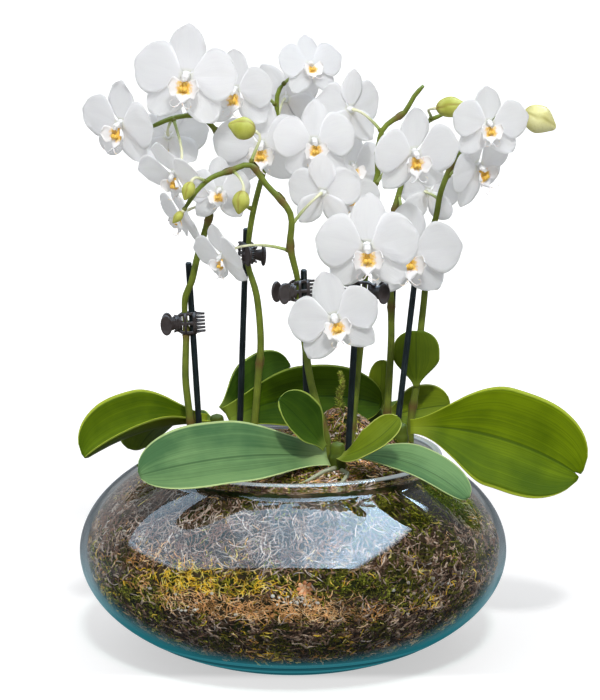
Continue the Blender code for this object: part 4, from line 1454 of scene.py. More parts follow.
LEAVES = {
    "leaf_01": LeafPlan("front", 167, 197, 9, -22, 144, 65, -33, LeafTone.SILVER, neck=0.34),
    "leaf_02": LeafPlan("front", 168, -22, 10, -50, 100, 44, 13, LeafTone.SILVER),
    "leaf_03": LeafPlan(
        "front", 174, 205, 52, -10, 55, 38, -62, LeafTone.SHADED, fold=22, neck=0.16, stand_off=2.0
    ),
    "leaf_04": LeafPlan("front", 169, -72, 12, 42, 68, 31, 42, LeafTone.YOUNG, fold=16, sweep=76),
    "leaf_05": LeafPlan("right", 175, -7, 3, -37, 138, 80, 72, LeafTone.BRIGHT, neck=0.14, notch=0.035),
    "leaf_06": LeafPlan("left", 172, 204, 8, -38, 106, 64, -22, LeafTone.BRIGHT, fold=48, neck=0.2),
    "leaf_07": LeafPlan("left", 177, 30, 42, -28, 68, 47, 65, LeafTone.SHADED, neck=0.36, notch=0.05),
    "leaf_08": LeafPlan("left", 174, 7, 25, -43, 126, 50, 70, LeafTone.DEEP, neck=0.4, stand_off=0.6),
    "leaf_09": LeafPlan("back", 172, 70, 76, 6, 42, 20, 5, LeafTone.YOUNG),
    "leaf_10": LeafPlan("side", 200, -96, 84, 0, 46, 37, 0, LeafTone.BRIGHT, neck=0.12),
    "leaf_11": LeafPlan("back", 170, -10, 18, -10, 52, 38, 62, LeafTone.YOUNG, fold=18, stand_off=1.2),
    "leaf_12": LeafPlan("left", 168, 128, 10, -62, 118, 56, 5, LeafTone.DEEP),
    "leaf_13": LeafPlan("back", 168, 78, 16, -70, 124, 58, -5, LeafTone.BRIGHT),
}


@dataclass
class StrapLeaf:
    """One strap leaf, with its rim, its midrib channel and slight waves."""

    name: str
    plan: LeafPlan
    rows: int = 44
    columns: int = 18
    line_steps: int = 40
    wave: float = 0.5
    thickness_share: float = 0.75

    def midrib(self) -> list[tuple[Vector, Vector]]:
        """The midrib's points with their directions, from the crown's side to the tip."""
        plan = self.plan
        on_stem = plan.crown == "side"
        x, y = SIDE_SHOOT if on_stem else CROWNS[plan.crown]
        heading = radians(plan.heading)
        clear = STEM_RADIUS if on_stem else CROWN_RADIUS
        clear += GAP + LEAF_THICKNESS * abs(sin(radians(plan.rise))) / 2 + plan.stand_off
        point = Vector((x + cos(heading) * clear, y + sin(heading) * clear, plan.height))
        line = []
        for step in range(self.line_steps + 1):
            t = step / self.line_steps
            pitch = radians(plan.rise + plan.droop * t)
            turn = heading + radians(plan.sweep * t)
            along = Vector((cos(turn) * cos(pitch), sin(turn) * cos(pitch), sin(pitch)))
            line.append((point.copy(), along))
            point += along * (plan.length / self.line_steps)
        return line

    def half_width(self, t: float) -> float:
        """Half the blade's width, from its narrow neck to its round tip."""
        swell = min(1.0, t / 0.5)
        body = self.plan.neck + (1 - self.plan.neck) * (swell * swell * (3 - 2 * swell))
        tip = max(0.0, (t - 0.6) / 0.4)
        return self.plan.width / 2 * body * sqrt(1 - 0.985 * tip**2.4)

    def point(self, line: list[tuple[Vector, Vector]], t: float, across: float) -> Vector:
        """A point of the blade, t along the midrib and across from -1 to 1."""
        plan = self.plan
        half = self.half_width(t)
        t -= plan.notch * smooth(0.86, 1.0, t) * exp(-((across / 0.16) ** 2))
        place = t * (len(line) - 1)
        index = min(int(place), len(line) - 2)
        start, along = line[index]
        middle = start.lerp(line[index + 1][0], place - index)
        level = Vector((0, 0, 1)).cross(along).normalized()
        bank = radians(plan.bank)
        side = level * cos(bank) + along.cross(level) * sin(bank)
        fold = radians(plan.fold)
        lift = abs(across) ** 1.4 * sin(fold) * half
        lift += self.wave * across * across * sin(t * 9.0 + plan.heading + across)
        return middle + side * (across * half * cos(fold)) + along.cross(side) * lift

    def build(self, materials: dict[LeafTone, Material], under: Material) -> None:
        """Makes the leaf."""
        line = self.midrib()
        shape = bmesh.new()
        add_blade(
            shape, self.rows, self.columns, lambda t, across: self.point(line, t, across),
            LEAF_THICKNESS * self.thickness_share, under=1,
        )
        place_piece(f"{self.name}_blade", shape, [materials[self.plan.tone], under], Slot.LEAF, [self.name])


@dataclass(frozen=True)
class BudPlan:
    """A closed bud on its own short stalk, from the stem's point nearest to joins."""

    centre: Triple
    joins: Triple
    axis: Triple
    length: float
    width: float
    pale: bool = False


@dataclass(frozen=True)
class SpikePlan:
    """A flower stem tied to its stake: the route's points below the clip, and those above it."""

    name: str
    stake_at: Pair
    stake_head: Triple
    foot: Pair
    below: tuple[Triple, ...]
    clip_height: float
    tied_heading: float
    above: tuple[Triple, ...]
    buds: tuple[BudPlan, ...] = ()
    joints: tuple[float, ...] = ()


@dataclass(frozen=True)
class BloomPlan:
    """An open flower: its hub's place, the way it faces, and the stem point that its stalk leaves."""

    name: str
    spike: str
    centre: Triple
    heading: float
    pitch: float
    joins: Triple
    width: float = BLOOM_WIDTH
    roll: float = 0.0

    def place(self) -> Matrix:
        """The bloom's matrix in metres: X right and Y up in its face, Z the way it faces."""
        heading, pitch = radians(self.heading), radians(self.pitch)
        forward = Vector(
            (sin(heading) * cos(pitch), -cos(heading) * cos(pitch), sin(pitch))
        )
        right = Vector((0, 0, 1)).cross(forward).normalized()
        turn = Matrix((right, forward.cross(right), forward)).transposed().to_4x4()
        roll = Matrix.Rotation(radians(self.roll), 4, "Z")
        return at(self.centre) @ turn @ roll


SPIKES = (
    SpikePlan(
        "a", (-72, 12), (-80, 12, 303), (-79, 12), ((-83, 11, 215),), 256, 0,
        ((-82, 5, 278), (-77, 1, 290), (-72, -3, 311), (-64, -5, 337), (-59, 0, 360), (-54, 5, 381),
         (-56, 5, 399), (-64, 1, 411), (-75, -5, 416), (-91, -10, 414), (-106, -15, 408)),
        joints=(0.12, 0.33, 0.62, 0.82),
    ),
    SpikePlan(
        "b", (-42, 30), (-36, 30, 327), (-30, 20), ((-27, 22, 212), (-25, 22, 240), (-28, 23, 275)), 308, 115,
        ((-31, 24, 338), (-25, 27, 362), (-19, 32, 381), (-13, 36, 403), (-12, 38, 428), (-8, 40, 436)),
        joints=(0.10, 0.27, 0.55),
    ),
    SpikePlan(
        "c", (11, -35), (8, -35, 304), (26, -48), ((22, -50, 190), (13, -47, 222), (8, -42, 255)), 288, 27,
        ((-2, -43, 322), (-2, -46, 347), (-20, -48, 369), (-31, -50, 383), (-46, -52, 379), (-60, -55, 374),
         (-71, -58, 364), (-79, -60, 352)),
        (
            BudPlan((-37, -49, 410), (-31, -50, 383), (-0.9, 0, 0.25), 20, 17),
            BudPlan((-76, -67, 366), (-64, -56, 372), (-0.35, -0.2, -0.9), 14, 10),
            BudPlan((-38, -60, 357), (-44, -52, 379), (-0.2, -0.1, -0.95), 17, 13),
            BudPlan((-84, -61, 346), (-79, -60, 352), (-0.6, 0, -0.7), 11, 6.5),
        ),
        joints=(0.16, 0.40, 0.58, 0.70, 0.78, 0.86),
    ),
    SpikePlan(
        "d", (41, -45), (48, -45, 298), (43, -38), ((45, -36, 190), (50, -39, 245)), 289, 180,
        ((57, -38, 316), (58, -18, 342), (61, -3, 360), (64, 0, 372), (64, 0, 387), (67, 0, 404),
         (75, 0, 412), (84, 0, 418), (91, 0, 430), (98, 0, 438)),
        joints=(0.14, 0.36, 0.66, 0.80, 0.90),
    ),
    SpikePlan(
        "e", (75, 55), (80, 53, 322), (74, 43), ((77, 43, 240), (76, 45, 280)), 308, 45,
        ((78, 48, 334), (84, 54, 356), (92, 62, 384), (103, 68, 404), (118, 66, 412)),
        (BudPlan((121, 30, 420), (108, 68, 407), (0.9, -0.35, 0.1), 24, 16),),
        joints=(0.15, 0.42, 0.7),
    ),
    SpikePlan(
        "f", (80, 22), (99, 36, 325), (93, 43), ((97, 43, 200), (100, 43, 244), (103, 42, 278)), 309, 180,
        ((110, 31, 334), (114, 29, 356), (125, 32, 380), (146, 43, 404), (167, 41, 416)),
        (BudPlan((189, 34, 410), (167, 41, 416), (0.85, 0, -0.45), 27, 22, True),),
        joints=(0.16, 0.30, 0.55, 0.8),
    ),
)

BLOOMS = tuple(
    BloomPlan(f"bloom_{number:02d}", *plan)
    for number, plan in enumerate((
        ("a", (-128, -24, 411), -36, -12, (-106, -15, 408), 68, -8),
        ("a", (-78, -40, 447), -6, -4, (-77, -6, 416), 76, -8),
        ("b", (-43, -12, 435), -20, -6, (-12, 37, 420), 63),
        ("b", (-24, -8, 394), -2, -8, (-19, 32, 381), 70),
        ("b", (13, 30, 452), 18, 24, (-8, 40, 436), 52),
        ("b", (16, -22, 398), 8, -4, (-13, 36, 403)),
        ("d", (43, 8, 420), -140, 4, (67, 0, 403)),
        ("c", (22, -40, 362), 160, 8, (-2, -45, 336), 58),
        ("d", (45, -21, 358), -30, -10, (60, -5, 354), 46),
        ("e", (46, 40, 374), 20, 6, (86, 56, 364), 54),
        ("d", (90, -30, 390), 20, -12, (62, -2, 362), 68),
        ("f", (141, 13, 376), 44, -14, (119, 29, 366), 66, 28),
        ("f", (147, -8, 410), 10, 2, (148, 42, 404), 58),
        ("d", (54, -68, 325), 2, -10, (58, -14, 338), 76),
        ("e", (88, 2, 312), 2, -8, (82, 52, 350), 80),
        ("d", (30, -84, 275), 4, 0, (58, -24, 332), 68, 14),
        ("c", (-53, -36, 314), -46, -24, (-2, -43, 318), 52),
        ("b", (-85, -4, 342), -64, -22, (-30, 24, 342), 52),
        ("a", (-55, -20, 361), -10, 8, (-63, -4, 346), 50),
        ("a", (-88, -35, 375), -40, -36, (-89, -10, 414), 60),
        ("b", (-6, 64, 424), 172, 0, (-13, 36, 404), 62, -30),
        ("f", (106, 58, 352), 150, -6, (113, 28, 348), 54),
        ("a", (-94, 8, 399), 175, -30, (-90, -10, 414), 60),
    ), 1)
)


def stake_line(plan: SpikePlan) -> tuple[Vector, Vector]:
    """The stake's foot and head. It is straight, so its foot follows from where it meets the moss."""
    head = Vector(plan.stake_head)
    entry = Vector((*plan.stake_at, 160.0))
    along = (head - entry) / (head.z - entry.z)
    return head + along * (STAKE_FOOT_HEIGHT - head.z), head


def clip_place(plan: SpikePlan) -> Matrix:
    """The clip's matrix in millimetres: X from stem to stake, Z up the stake, origin between them."""
    foot, head = stake_line(plan)
    up = (head - foot).normalized()
    on_stake = foot + up * ((plan.clip_height - foot.z) / up.z)
    heading = radians(plan.tied_heading)
    across = Vector((cos(heading), sin(heading), 0))
    across = (across - up * across.dot(up)).normalized()
    turn = Matrix((across, up.cross(across), up)).transposed().to_4x4()
    return Matrix.Translation(on_stake - across * (TIED_SPACING / 2)) @ turn


@dataclass
class FlowerSpike:
    """A flower stem with its joints, flower stalks and buds."""

    plan: SpikePlan
    blooms: list[BloomPlan]
    solid_spacing: float = 24.0
    fine: int = 4
    joint_swell: float = 0.6
    free_swell: float = 0.28
    stalk_pieces: int = 10

    def solid_route(self) -> list[Vector]:
        """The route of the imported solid, which the stalks start from."""
        plan = self.plan
        tied = clip_place(plan)
        in_clip = [tied @ Vector((-TIED_SPACING / 2, 0, z)) for z in (-CLIP_REACH, CLIP_REACH)]
        foot = Vector((*plan.foot, STEM_FOOT_HEIGHT))
        bend = Vector((*plan.foot, STEM_BEND_HEIGHT))
        free = smooth_route([bend, *plan.below, *in_clip, *plan.above], self.solid_spacing)
        return [foot, *free]

    @staticmethod
    def stalk_route(start: Vector, end: Vector, arrival: Vector, pieces: int) -> list[Vector]:
        """A short curved stalk from the stem to the back of a bloom or bud, arriving along arrival."""
        seat = end.copy()
        end = end - arrival.normalized() * 2.0
        reach = (end - start).length
        leave = start + (end - start).normalized() * reach * 0.3 + Vector((0, 0, reach * 0.12))
        meet = end - arrival.normalized() * reach * 0.35
        route = []
        for piece in range(pieces + 1):
            t = piece / pieces
            curve = start * (1 - t) ** 3 + leave * 3 * t * (1 - t) ** 2 + meet * 3 * t**2 * (1 - t)
            route.append(curve + end * t**3)
        return [*route, seat]

    def add_stem(self, shape: BMesh, route: list[Vector]) -> None:
        """Adds the stem, swollen and brown at its joints, with a small scale at each."""
        fine = smooth_route(route, self.solid_spacing / self.fine)
        last = len(fine) - 1
        joints = [round(share * last) for share in self.plan.joints]
        radii, tones = [], []
        for index in range(last + 1):
            radius = STEM_RADIUS + (STEM_TIP_RADIUS - STEM_RADIUS) * (index / last) ** 2
            tied = exp(-(((fine[index].z - self.plan.clip_height) / 16.0) ** 2))
            radius *= 1 + self.free_swell * (1 - tied)
            near = max((exp(-((index - joint) ** 2) / 0.6) for joint in joints), default=0.0)
            radii.append(radius + self.joint_swell * near)
            tones.append(min(0.85, near * 0.85))
        radii[-1] *= 0.7
        add_tube(shape, fine, radii, 14, 0, tones)
        for joint in joints:
            along = (fine[min(last, joint + 1)] - fine[joint - 1]).normalized()
            self.add_scale(shape, fine[joint], along, radii[joint])

    def add_scale(self, shape: BMesh, place: Vector, along: Vector, radius: float) -> None:
        """Adds the thin pointed scale that clasps the stem at a joint."""
        side = along.cross(Vector((0.3, 1, 0.2))).normalized()
        front = side.cross(along).normalized()

        def point(t: float, across: float) -> Vector:
            turn = across * 1.7 * (1 - t) ** 0.7
            out = radius + 0.15 + 0.7 * t * t
            return place + along * (8.5 * t - 1.0) + (side * sin(turn) + front * cos(turn)) * out

        add_blade(shape, 7, 6, point, 0.35, 0, tone_at=lambda t, across: 0.25 + 0.5 * t)

    def add_stalk(self, shape: BMesh, route: list[Vector]) -> None:
        """Adds a flower stalk that thins and pales away from the stem."""
        last = len(route) - 1
        radii = [PEDICEL_RADIUS * (1.25 - 0.35 * min(1.0, index / last * 2)) for index in range(last + 1)]
        radii[-1] = radii[-2] = PEDICEL_RADIUS * 1.25
        tones = [smooth(0.05, 0.7, index / last) for index in range(last + 1)]
        add_tube(shape, route, radii, 8, 1, tones)
        collar = route[0].lerp(route[1], 0.6)
        add_ball(shape, at(collar) @ aimed(route[1] - route[0]), (1.9, 1.9, 2.4), 10, 0, 0.3)

    @staticmethod
    def add_bud(shape: BMesh, bud: BudPlan) -> None:
        """Adds a bud: a pointed oval, with seams where its sepals meet."""

        def seam(point: Vector, height: float) -> float:
            return abs(cos(1.5 * (atan2(point.y, point.x) + 0.5 * height)))

        def sepals(unit: Vector) -> Vector:
            height = (unit.z + 1) / 2
            dent = 0.10 * (1 - smooth(0.0, 0.22, seam(unit, height))) * smooth(0.05, 0.35, height)
            pinch = 1 - 0.35 * smooth(0.5, 1.0, height) - dent
            return Vector((unit.x * pinch, unit.y * pinch, unit.z + 0.06 * smooth(0.9, 1.0, height)))

        def tone(point: Vector) -> float:
            height = (point.z + 1) / 2
            return 0.8 * (1 - smooth(0.0, 0.3, seam(point, height))) + 0.5 * smooth(0.25, 0.0, height)

        radii = (bud.width / 2, bud.width / 2, bud.length / 2)
        place = at(bud.centre) @ aimed(Vector(bud.axis))
        add_ball(shape, place, radii, 30, 3 if bud.pale else 2, tone, sepals)

    def build(self, materials: Sequence[Material]) -> None:
        """Makes the stem with everything that grew on it."""
        route = self.solid_route()
        shape = bmesh.new()
        self.add_stem(shape, route)
        for bloom in self.blooms:
            place = bloom.place()
            seat = place @ mm(0, 0, -(HUB_BACK * bloom.width / BLOOM_WIDTH + GAP))
            forward = place.to_3x3() @ Vector((0, 0, 1))
            start = nearest_on(route, bloom.joins)
            self.add_stalk(shape, self.stalk_route(start, seat * 1000.0, forward, self.stalk_pieces))
        for bud in self.plan.buds:
            axis = Vector(bud.axis).normalized()
            base = Vector(bud.centre) - axis * bud.length * 0.42
            self.add_stalk(shape, self.stalk_route(nearest_on(route, bud.joins), base, axis, 6))
            self.add_bud(shape, bud)
        name = self.plan.name
        place_piece(f"flower_stem_{name}", shape, materials, Slot.STEM, [f"spike_{name}"])


@dataclass
class Stake:
    """A coated plant stake with a rounded head and faint swellings along it."""

    plan: SpikePlan
    sides: int = 24
    rings: int = 60
    swelling: float = 0.015
    wave_length: float = 5.0
    tip: float = 1.2

    def build(self, material: Material) -> None:
        """Makes the stake."""
        foot, head = stake_line(self.plan)
        route, radii = [], []
        length, along = (head - foot).length, (head - foot).normalized()
        for step in range(self.rings + 1):
            share = step / self.rings
            route.append(foot.lerp(head, share))
            wave = sin(share * length / self.wave_length)
            radii.append(STAKE_RADIUS * (1 + self.swelling * (wave - 1)))
        route[-1] = head - along * self.tip
        for nudge, share in ((0.4, 0.93), (self.tip, 0.6)):
            route.append(head - along * (self.tip - nudge))
            radii.append(STAKE_RADIUS * share)
        shape = bmesh.new()
        add_tube(shape, route, radii, self.sides)
        name = self.plan.name
        place_piece(f"plant_stake_{name}", shape, [material], Slot.STAKE, [f"stake_{name}"])


@dataclass
class SpringClip:
    """A plastic spring clip: two jaws with combed tips and ribbed thumb pads, on a sprung pin."""

    plan: SpikePlan
    thickness: float = 1.5
    pin_at: float = -9.0
    pin_radius: float = 1.5
    coil_turns: int = 5
    coil_steps: int = 60
    teeth: int = 6
    path: tuple[Triple, ...] = (
        (-18.5, 6.4, 6.0), (-14.5, 6.0, 7.5), (-9, 2.4, 6.0), (-5.6, 3.15, 8.0), (0, 3.6, 8.5),
        (5.6, 3.3, 8.5), (10.4, 1.5, 8.0), (12.5, 1.3, 8.0),
    )

    def add_plate(
        self, shape: BMesh, hand: int, span: Pair, edges: Pair,
        rows: int = 12, swell: float = 1.0, out: float = 0.0,
    ) -> None:
        """Adds a strip of a jaw.

        Args:
            shape: The bmesh that the strip is added to.
            hand: The jaw's side.
            span: Where the strip starts and ends along the jaw's path, from 0 to 1.
            edges: Its two edges, as shares of the jaw's half width.
            rows: The number of faces along it.
            swell: How many times as thick as the jaw's plate it is.
            out: How far it stands out from the jaw's path.
        """
        knots = smooth_route(self.path, 1.2)
        last = len(knots) - 1

        def point(t: float, across: float) -> Vector:
            place = (span[0] + (span[1] - span[0]) * t) * last
            index = min(int(place), last - 1)
            knot = knots[index].lerp(knots[index + 1], place - index)
            share = edges[0] + (edges[1] - edges[0]) * (across + 1) / 2
            return Vector((knot.x, hand * (knot.y + out), share * knot.z))

        add_blade(shape, rows, 3, point, self.thickness * swell)

    def add_jaw(self, shape: BMesh, hand: int) -> None:
        """Adds one jaw: a framed plate with windows, a round thumb pad and a comb of teeth."""
        self.add_plate(shape, hand, (0.10, 0.46), (-0.62, 0.62))
        for low, high in ((-1.0, -0.72), (-0.16, 0.16), (0.72, 1.0)):
            self.add_plate(shape, hand, (0.26, 0.80), (low, high), 16, 1.2)
        for start, end in ((0.30, 0.40), (0.52, 0.58), (0.72, 0.80)):
            self.add_plate(shape, hand, (start, end), (-1.0, 1.0), 4, 1.1, 0.1)
        for number in range(self.teeth):
            middle = (2 * number + 1) / self.teeth - 1
            half = 0.55 / self.teeth
            self.add_plate(shape, hand, (0.78, 1.0), (middle - half, middle + half), 5)
        x, y, half = self.path[0]
        pad = at(x + 1.5, hand * y, 0) @ Matrix.Rotation(hand * 0.12, 4, "Z")
        add_ball(shape, pad, (4.6, 1.0, half + 2.0), 24, 0, 0.0, self.thumb_pad)

    @staticmethod
    def thumb_pad(unit: Vector) -> Vector:
        """Shapes the thumb pad: flat faces with a raised rim and grip ribs."""
        reach = hypot(unit.x, unit.z)
        flat = copysign(min(1.0, abs(unit.y) * 2.2), unit.y) if unit.y else 0.0
        hollow = 0.45 * (1 - smooth(0.55, 0.78, reach)) + 0.15 * cos(unit.z * 14) * (reach < 0.6)
        return Vector((unit.x, flat * (1.0 - hollow), unit.z))

    def add_spring(self, shape: BMesh) -> None:
        """Adds the pin and the coil round it."""
        pin = [Vector((self.pin_at, 0, z)) for z in (-5.6, -5.0, 0.0, 5.0, 5.6)]
        add_tube(shape, pin, [0.9, 1.4, 1.4, 1.4, 0.9], 14, 1)
        reach = self.pin_radius + 0.7
        coil = []
        for step in range(self.coil_steps + 1):
            share = step / self.coil_steps
            angle = tau * self.coil_turns * share
            coil.append(Vector((self.pin_at + reach * cos(angle), reach * sin(angle), 8 * share - 4)))
        add_tube(shape, coil, [0.45] * len(coil), 6, 1)

    def build(self, plastic: Material, metal: Material) -> None:
        """Makes the clip."""
        shape = bmesh.new()
        for hand in (-1, 1):
            self.add_jaw(shape, hand)
        self.add_spring(shape)
        place = clip_place(self.plan)
        place.translation /= 1000.0
        bmesh.ops.transform(shape, matrix=place, verts=shape.verts)
        name = self.plan.name
        place_piece(f"spring_clip_{name}", shape, [plastic, metal], Slot.CLIP, [f"clip_{name}"])


@dataclass
class Bloom:
    """An open moth orchid flower."""

    plan: BloomPlan
    length: float = 29.5
    sepals: tuple[Pair, ...] = ((90, 23), (228, 22.5), (312, 22.5))
    sepal_faces: tuple[int, int] = (16, 8)
    petals: tuple[Pair, ...] = ((14, 35), (166, 35))
    petal_faces: tuple[int, int] = (18, 14)
    thickness: float = 0.5
    chance: random.Random = field(init=False)

    def __post_init__(self) -> None:
        """Seeds the draws by name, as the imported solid's are."""
        self.chance = random.Random(self.plan.name)

    @staticmethod
    def petal_share(t: float) -> float:
        """A petal's share of its full half width: a narrow claw, then a broad round blade."""
        rise = sin(pi / 2 * min(1.0, (t + 0.02) / 0.62)) ** 1.15
        return max(0.10, rise) * sqrt(1 - 0.93 * max(0.0, (t - 0.25) / 0.75) ** 2.6)

    @staticmethod
    def sepal_share(t: float) -> float:
        """A sepal's share of its full half width: an oval with a blunt tip."""
        rise = 0.2 + 0.8 * sin(pi / 2 * min(1.0, t / 0.55))
        return rise * sqrt(1 - 0.95 * max(0.0, (t - 0.25) / 0.75) ** 2.2)

    def tepal(self, aim: float, length: float, width: float, share: Callable, layer: float,
              cup: float, lift: float) -> PointAt:
        """The middle surface of one petal or sepal.

        Args:
            aim: The way it points in the flower's face, in degrees.
            length: Its length.
            width: Its full width.
            share: Gives the share of the half width along it.
            layer: Its height in front of the flower's face.
            cup: How far its edges stand forward.
            lift: How far its tip stands forward.

        Returns:
            A function of (along, across).
        """
        angle = radians(aim)
        out = Vector((cos(angle), sin(angle), 0))
        side = Vector((-sin(angle), cos(angle), 0))
        phase = self.chance.uniform(0, tau)
        ruffle = self.chance.uniform(0.5, 1.3)
        skew = self.chance.uniform(-0.08, 0.08)
        curl = self.chance.uniform(-1.0, 0.6)

        def point(t: float, across: float) -> Vector:
            half = share(t) * width / 2
            reach = 2.2 + length * (t - 0.05 * t**3 * across * across)
            height = layer + cup * across * across * t + lift * t * t
            height += ruffle * sin(phase + 5.0 * t + 2.4 * across) * abs(across) ** 1.5 * t
            height += 0.55 * ruffle * sin(2 * phase + 13.0 * t + 3.0 * across) * across * across * t
            height += curl * smooth(0.7, 1.0, t) - 0.5 * exp(-((across / 0.12) ** 2)) * sin(pi * t)
            return out * reach + side * ((across + skew * t) * half) + Vector((0, 0, height))

        return point

    def add_tepals(self, shape: BMesh) -> None:
        """Adds the three sepals and then the two petals, each a little different."""
        lift, odd = random.Random(self.plan.name).uniform, self.chance.uniform
        plans = [(angle, width, lift(-4.0, 0.5), False) for angle, width in self.sepals]
        plans += [(angle, width, lift(1.0, 4.5), True) for angle, width in self.petals]
        plans = [
            (angle + odd(-5, 5), self.length * odd(0.95, 1.03), width * odd(0.93, 1.07), rise, petal)
            for angle, width, rise, petal in plans
        ]
        for angle, length, width, rise, petal in plans:
            share, layer, cup = (self.petal_share, 1.0, -1.0) if petal else (self.sepal_share, -1.3, 1.0)
            faces = self.petal_faces if petal else self.sepal_faces
            middle = self.tepal(angle, length, width, share, layer, cup, rise)
            add_blade(shape, *faces, middle, self.thickness)

    @staticmethod
    def middle_lobe(t: float, across: float) -> Vector:
        """The lip's middle lobe: a narrow claw, then a blade that hangs down and ends in a point."""
        half = (1.4 + 3.8 * smooth(0.12, 0.55, t)) * sqrt(1 - 0.94 * smooth(0.6, 1.0, t))
        keel = 0.7 * exp(-((across / 0.22) ** 2)) * (1 - t)
        return Vector((across * half, -2.6 - 13.8 * t + 1.2 * t * t + keel,
                       1.5 + 10.0 * t - 2.6 * t * t - 1.6 * across * across * (0.4 + t)))

    @staticmethod
    def side_lobe(hand: int) -> PointAt:
        """One of the lip's two side lobes: a broad cup that opens towards the front."""

        def point(t: float, across: float) -> Vector:
            half = 1.6 + 4.6 * sin(pi * min(1.0, 0.12 + 0.62 * t))
            half *= sqrt(1 - 0.85 * smooth(0.6, 1.0, t))
            turn = 1.45 * t
            wave = 0.5 * sin(5.0 * across + 3.0 * t) * t
            x = hand * (1.0 + 8.6 * sin(turn) - 1.4 * across * across * t)
            z = 3.0 + 6.6 * t + 1.2 * across * across * t + wave
            return Vector((x, -7.0 + 1.8 * t + across * half, z))

        return point

    def add_lip(self, shape: BMesh) -> None:
        """Adds the three-lobed lip, the swelling on it and the two threads at its tip."""
        add_blade(shape, 14, 10, self.middle_lobe, 0.5, 1,
                  tone_at=lambda t, across: 0.9 - 1.3 * smooth(0.35, 0.85, t) - 0.25 * across * across)
        for hand in (-1, 1):
            add_blade(shape, 12, 10, self.side_lobe(hand), 0.45, 1,
                      tone_at=lambda t, across: 0.8 - 1.1 * smooth(0.0, 0.6, t) - 0.25 * across * across)
            add_ball(shape, at(hand * 1.2, -7.0, 6.6), (1.5, 1.6, 1.8), 10, 1, 0.85)
            threads = smooth_route(
                [(hand * 0.6, -14.7, 8.6), (hand * 1.8, -16.6, 9.4), (hand * 4.2, -17.6, 10.4),
                 (hand * 6.2, -16.4, 11.2), (hand * 6.4, -14.4, 11.2), (hand * 5.2, -13.4, 10.8)], 0.9)
            add_tube(shape, threads, taper(threads, 0.42, 0.26), 5, 1, [0.12] * len(threads))

    def add_column(self, shape: BMesh) -> None:
        """Adds the column, its cap, and the knob of the hub that the tepals grow from."""
        route = smooth_route([(0, 0.2, 0.0), (0, 0.2, 2.4), (0, -0.2, 4.8), (0, -0.9, 6.4)], 0.9)
        last = len(route) - 1
        radii = [1.5 + 0.4 * sin(pi * index / last) + 0.2 * index / last for index in range(last + 1)]
        radii[-1] = 1.1
        add_tube(shape, route, radii, 14, 2)
        add_ball(shape, at(0, -1.1, 6.4), (1.7, 1.4, 1.2), 12, 2, 0.6)
        hub = (HUB_RADIUS * 0.92, HUB_RADIUS * 0.92, (HUB_FRONT + HUB_BACK) / 2)
        add_ball(shape, at(0, 0, (HUB_FRONT - HUB_BACK) / 2), hub, 16)

    def build(self, materials: Sequence[Material]) -> None:
        """Makes the flower."""
        shape = bmesh.new()
        self.add_tepals(shape)
        self.add_lip(shape)
        self.add_column(shape)
        place = self.plan.place() @ Matrix.Scale(self.plan.width / BLOOM_WIDTH, 4)
        bmesh.ops.transform(shape, matrix=place, verts=shape.verts)
        place_piece(f"{self.plan.name}_flower", shape, materials, Slot.BLOOM, [self.plan.name])


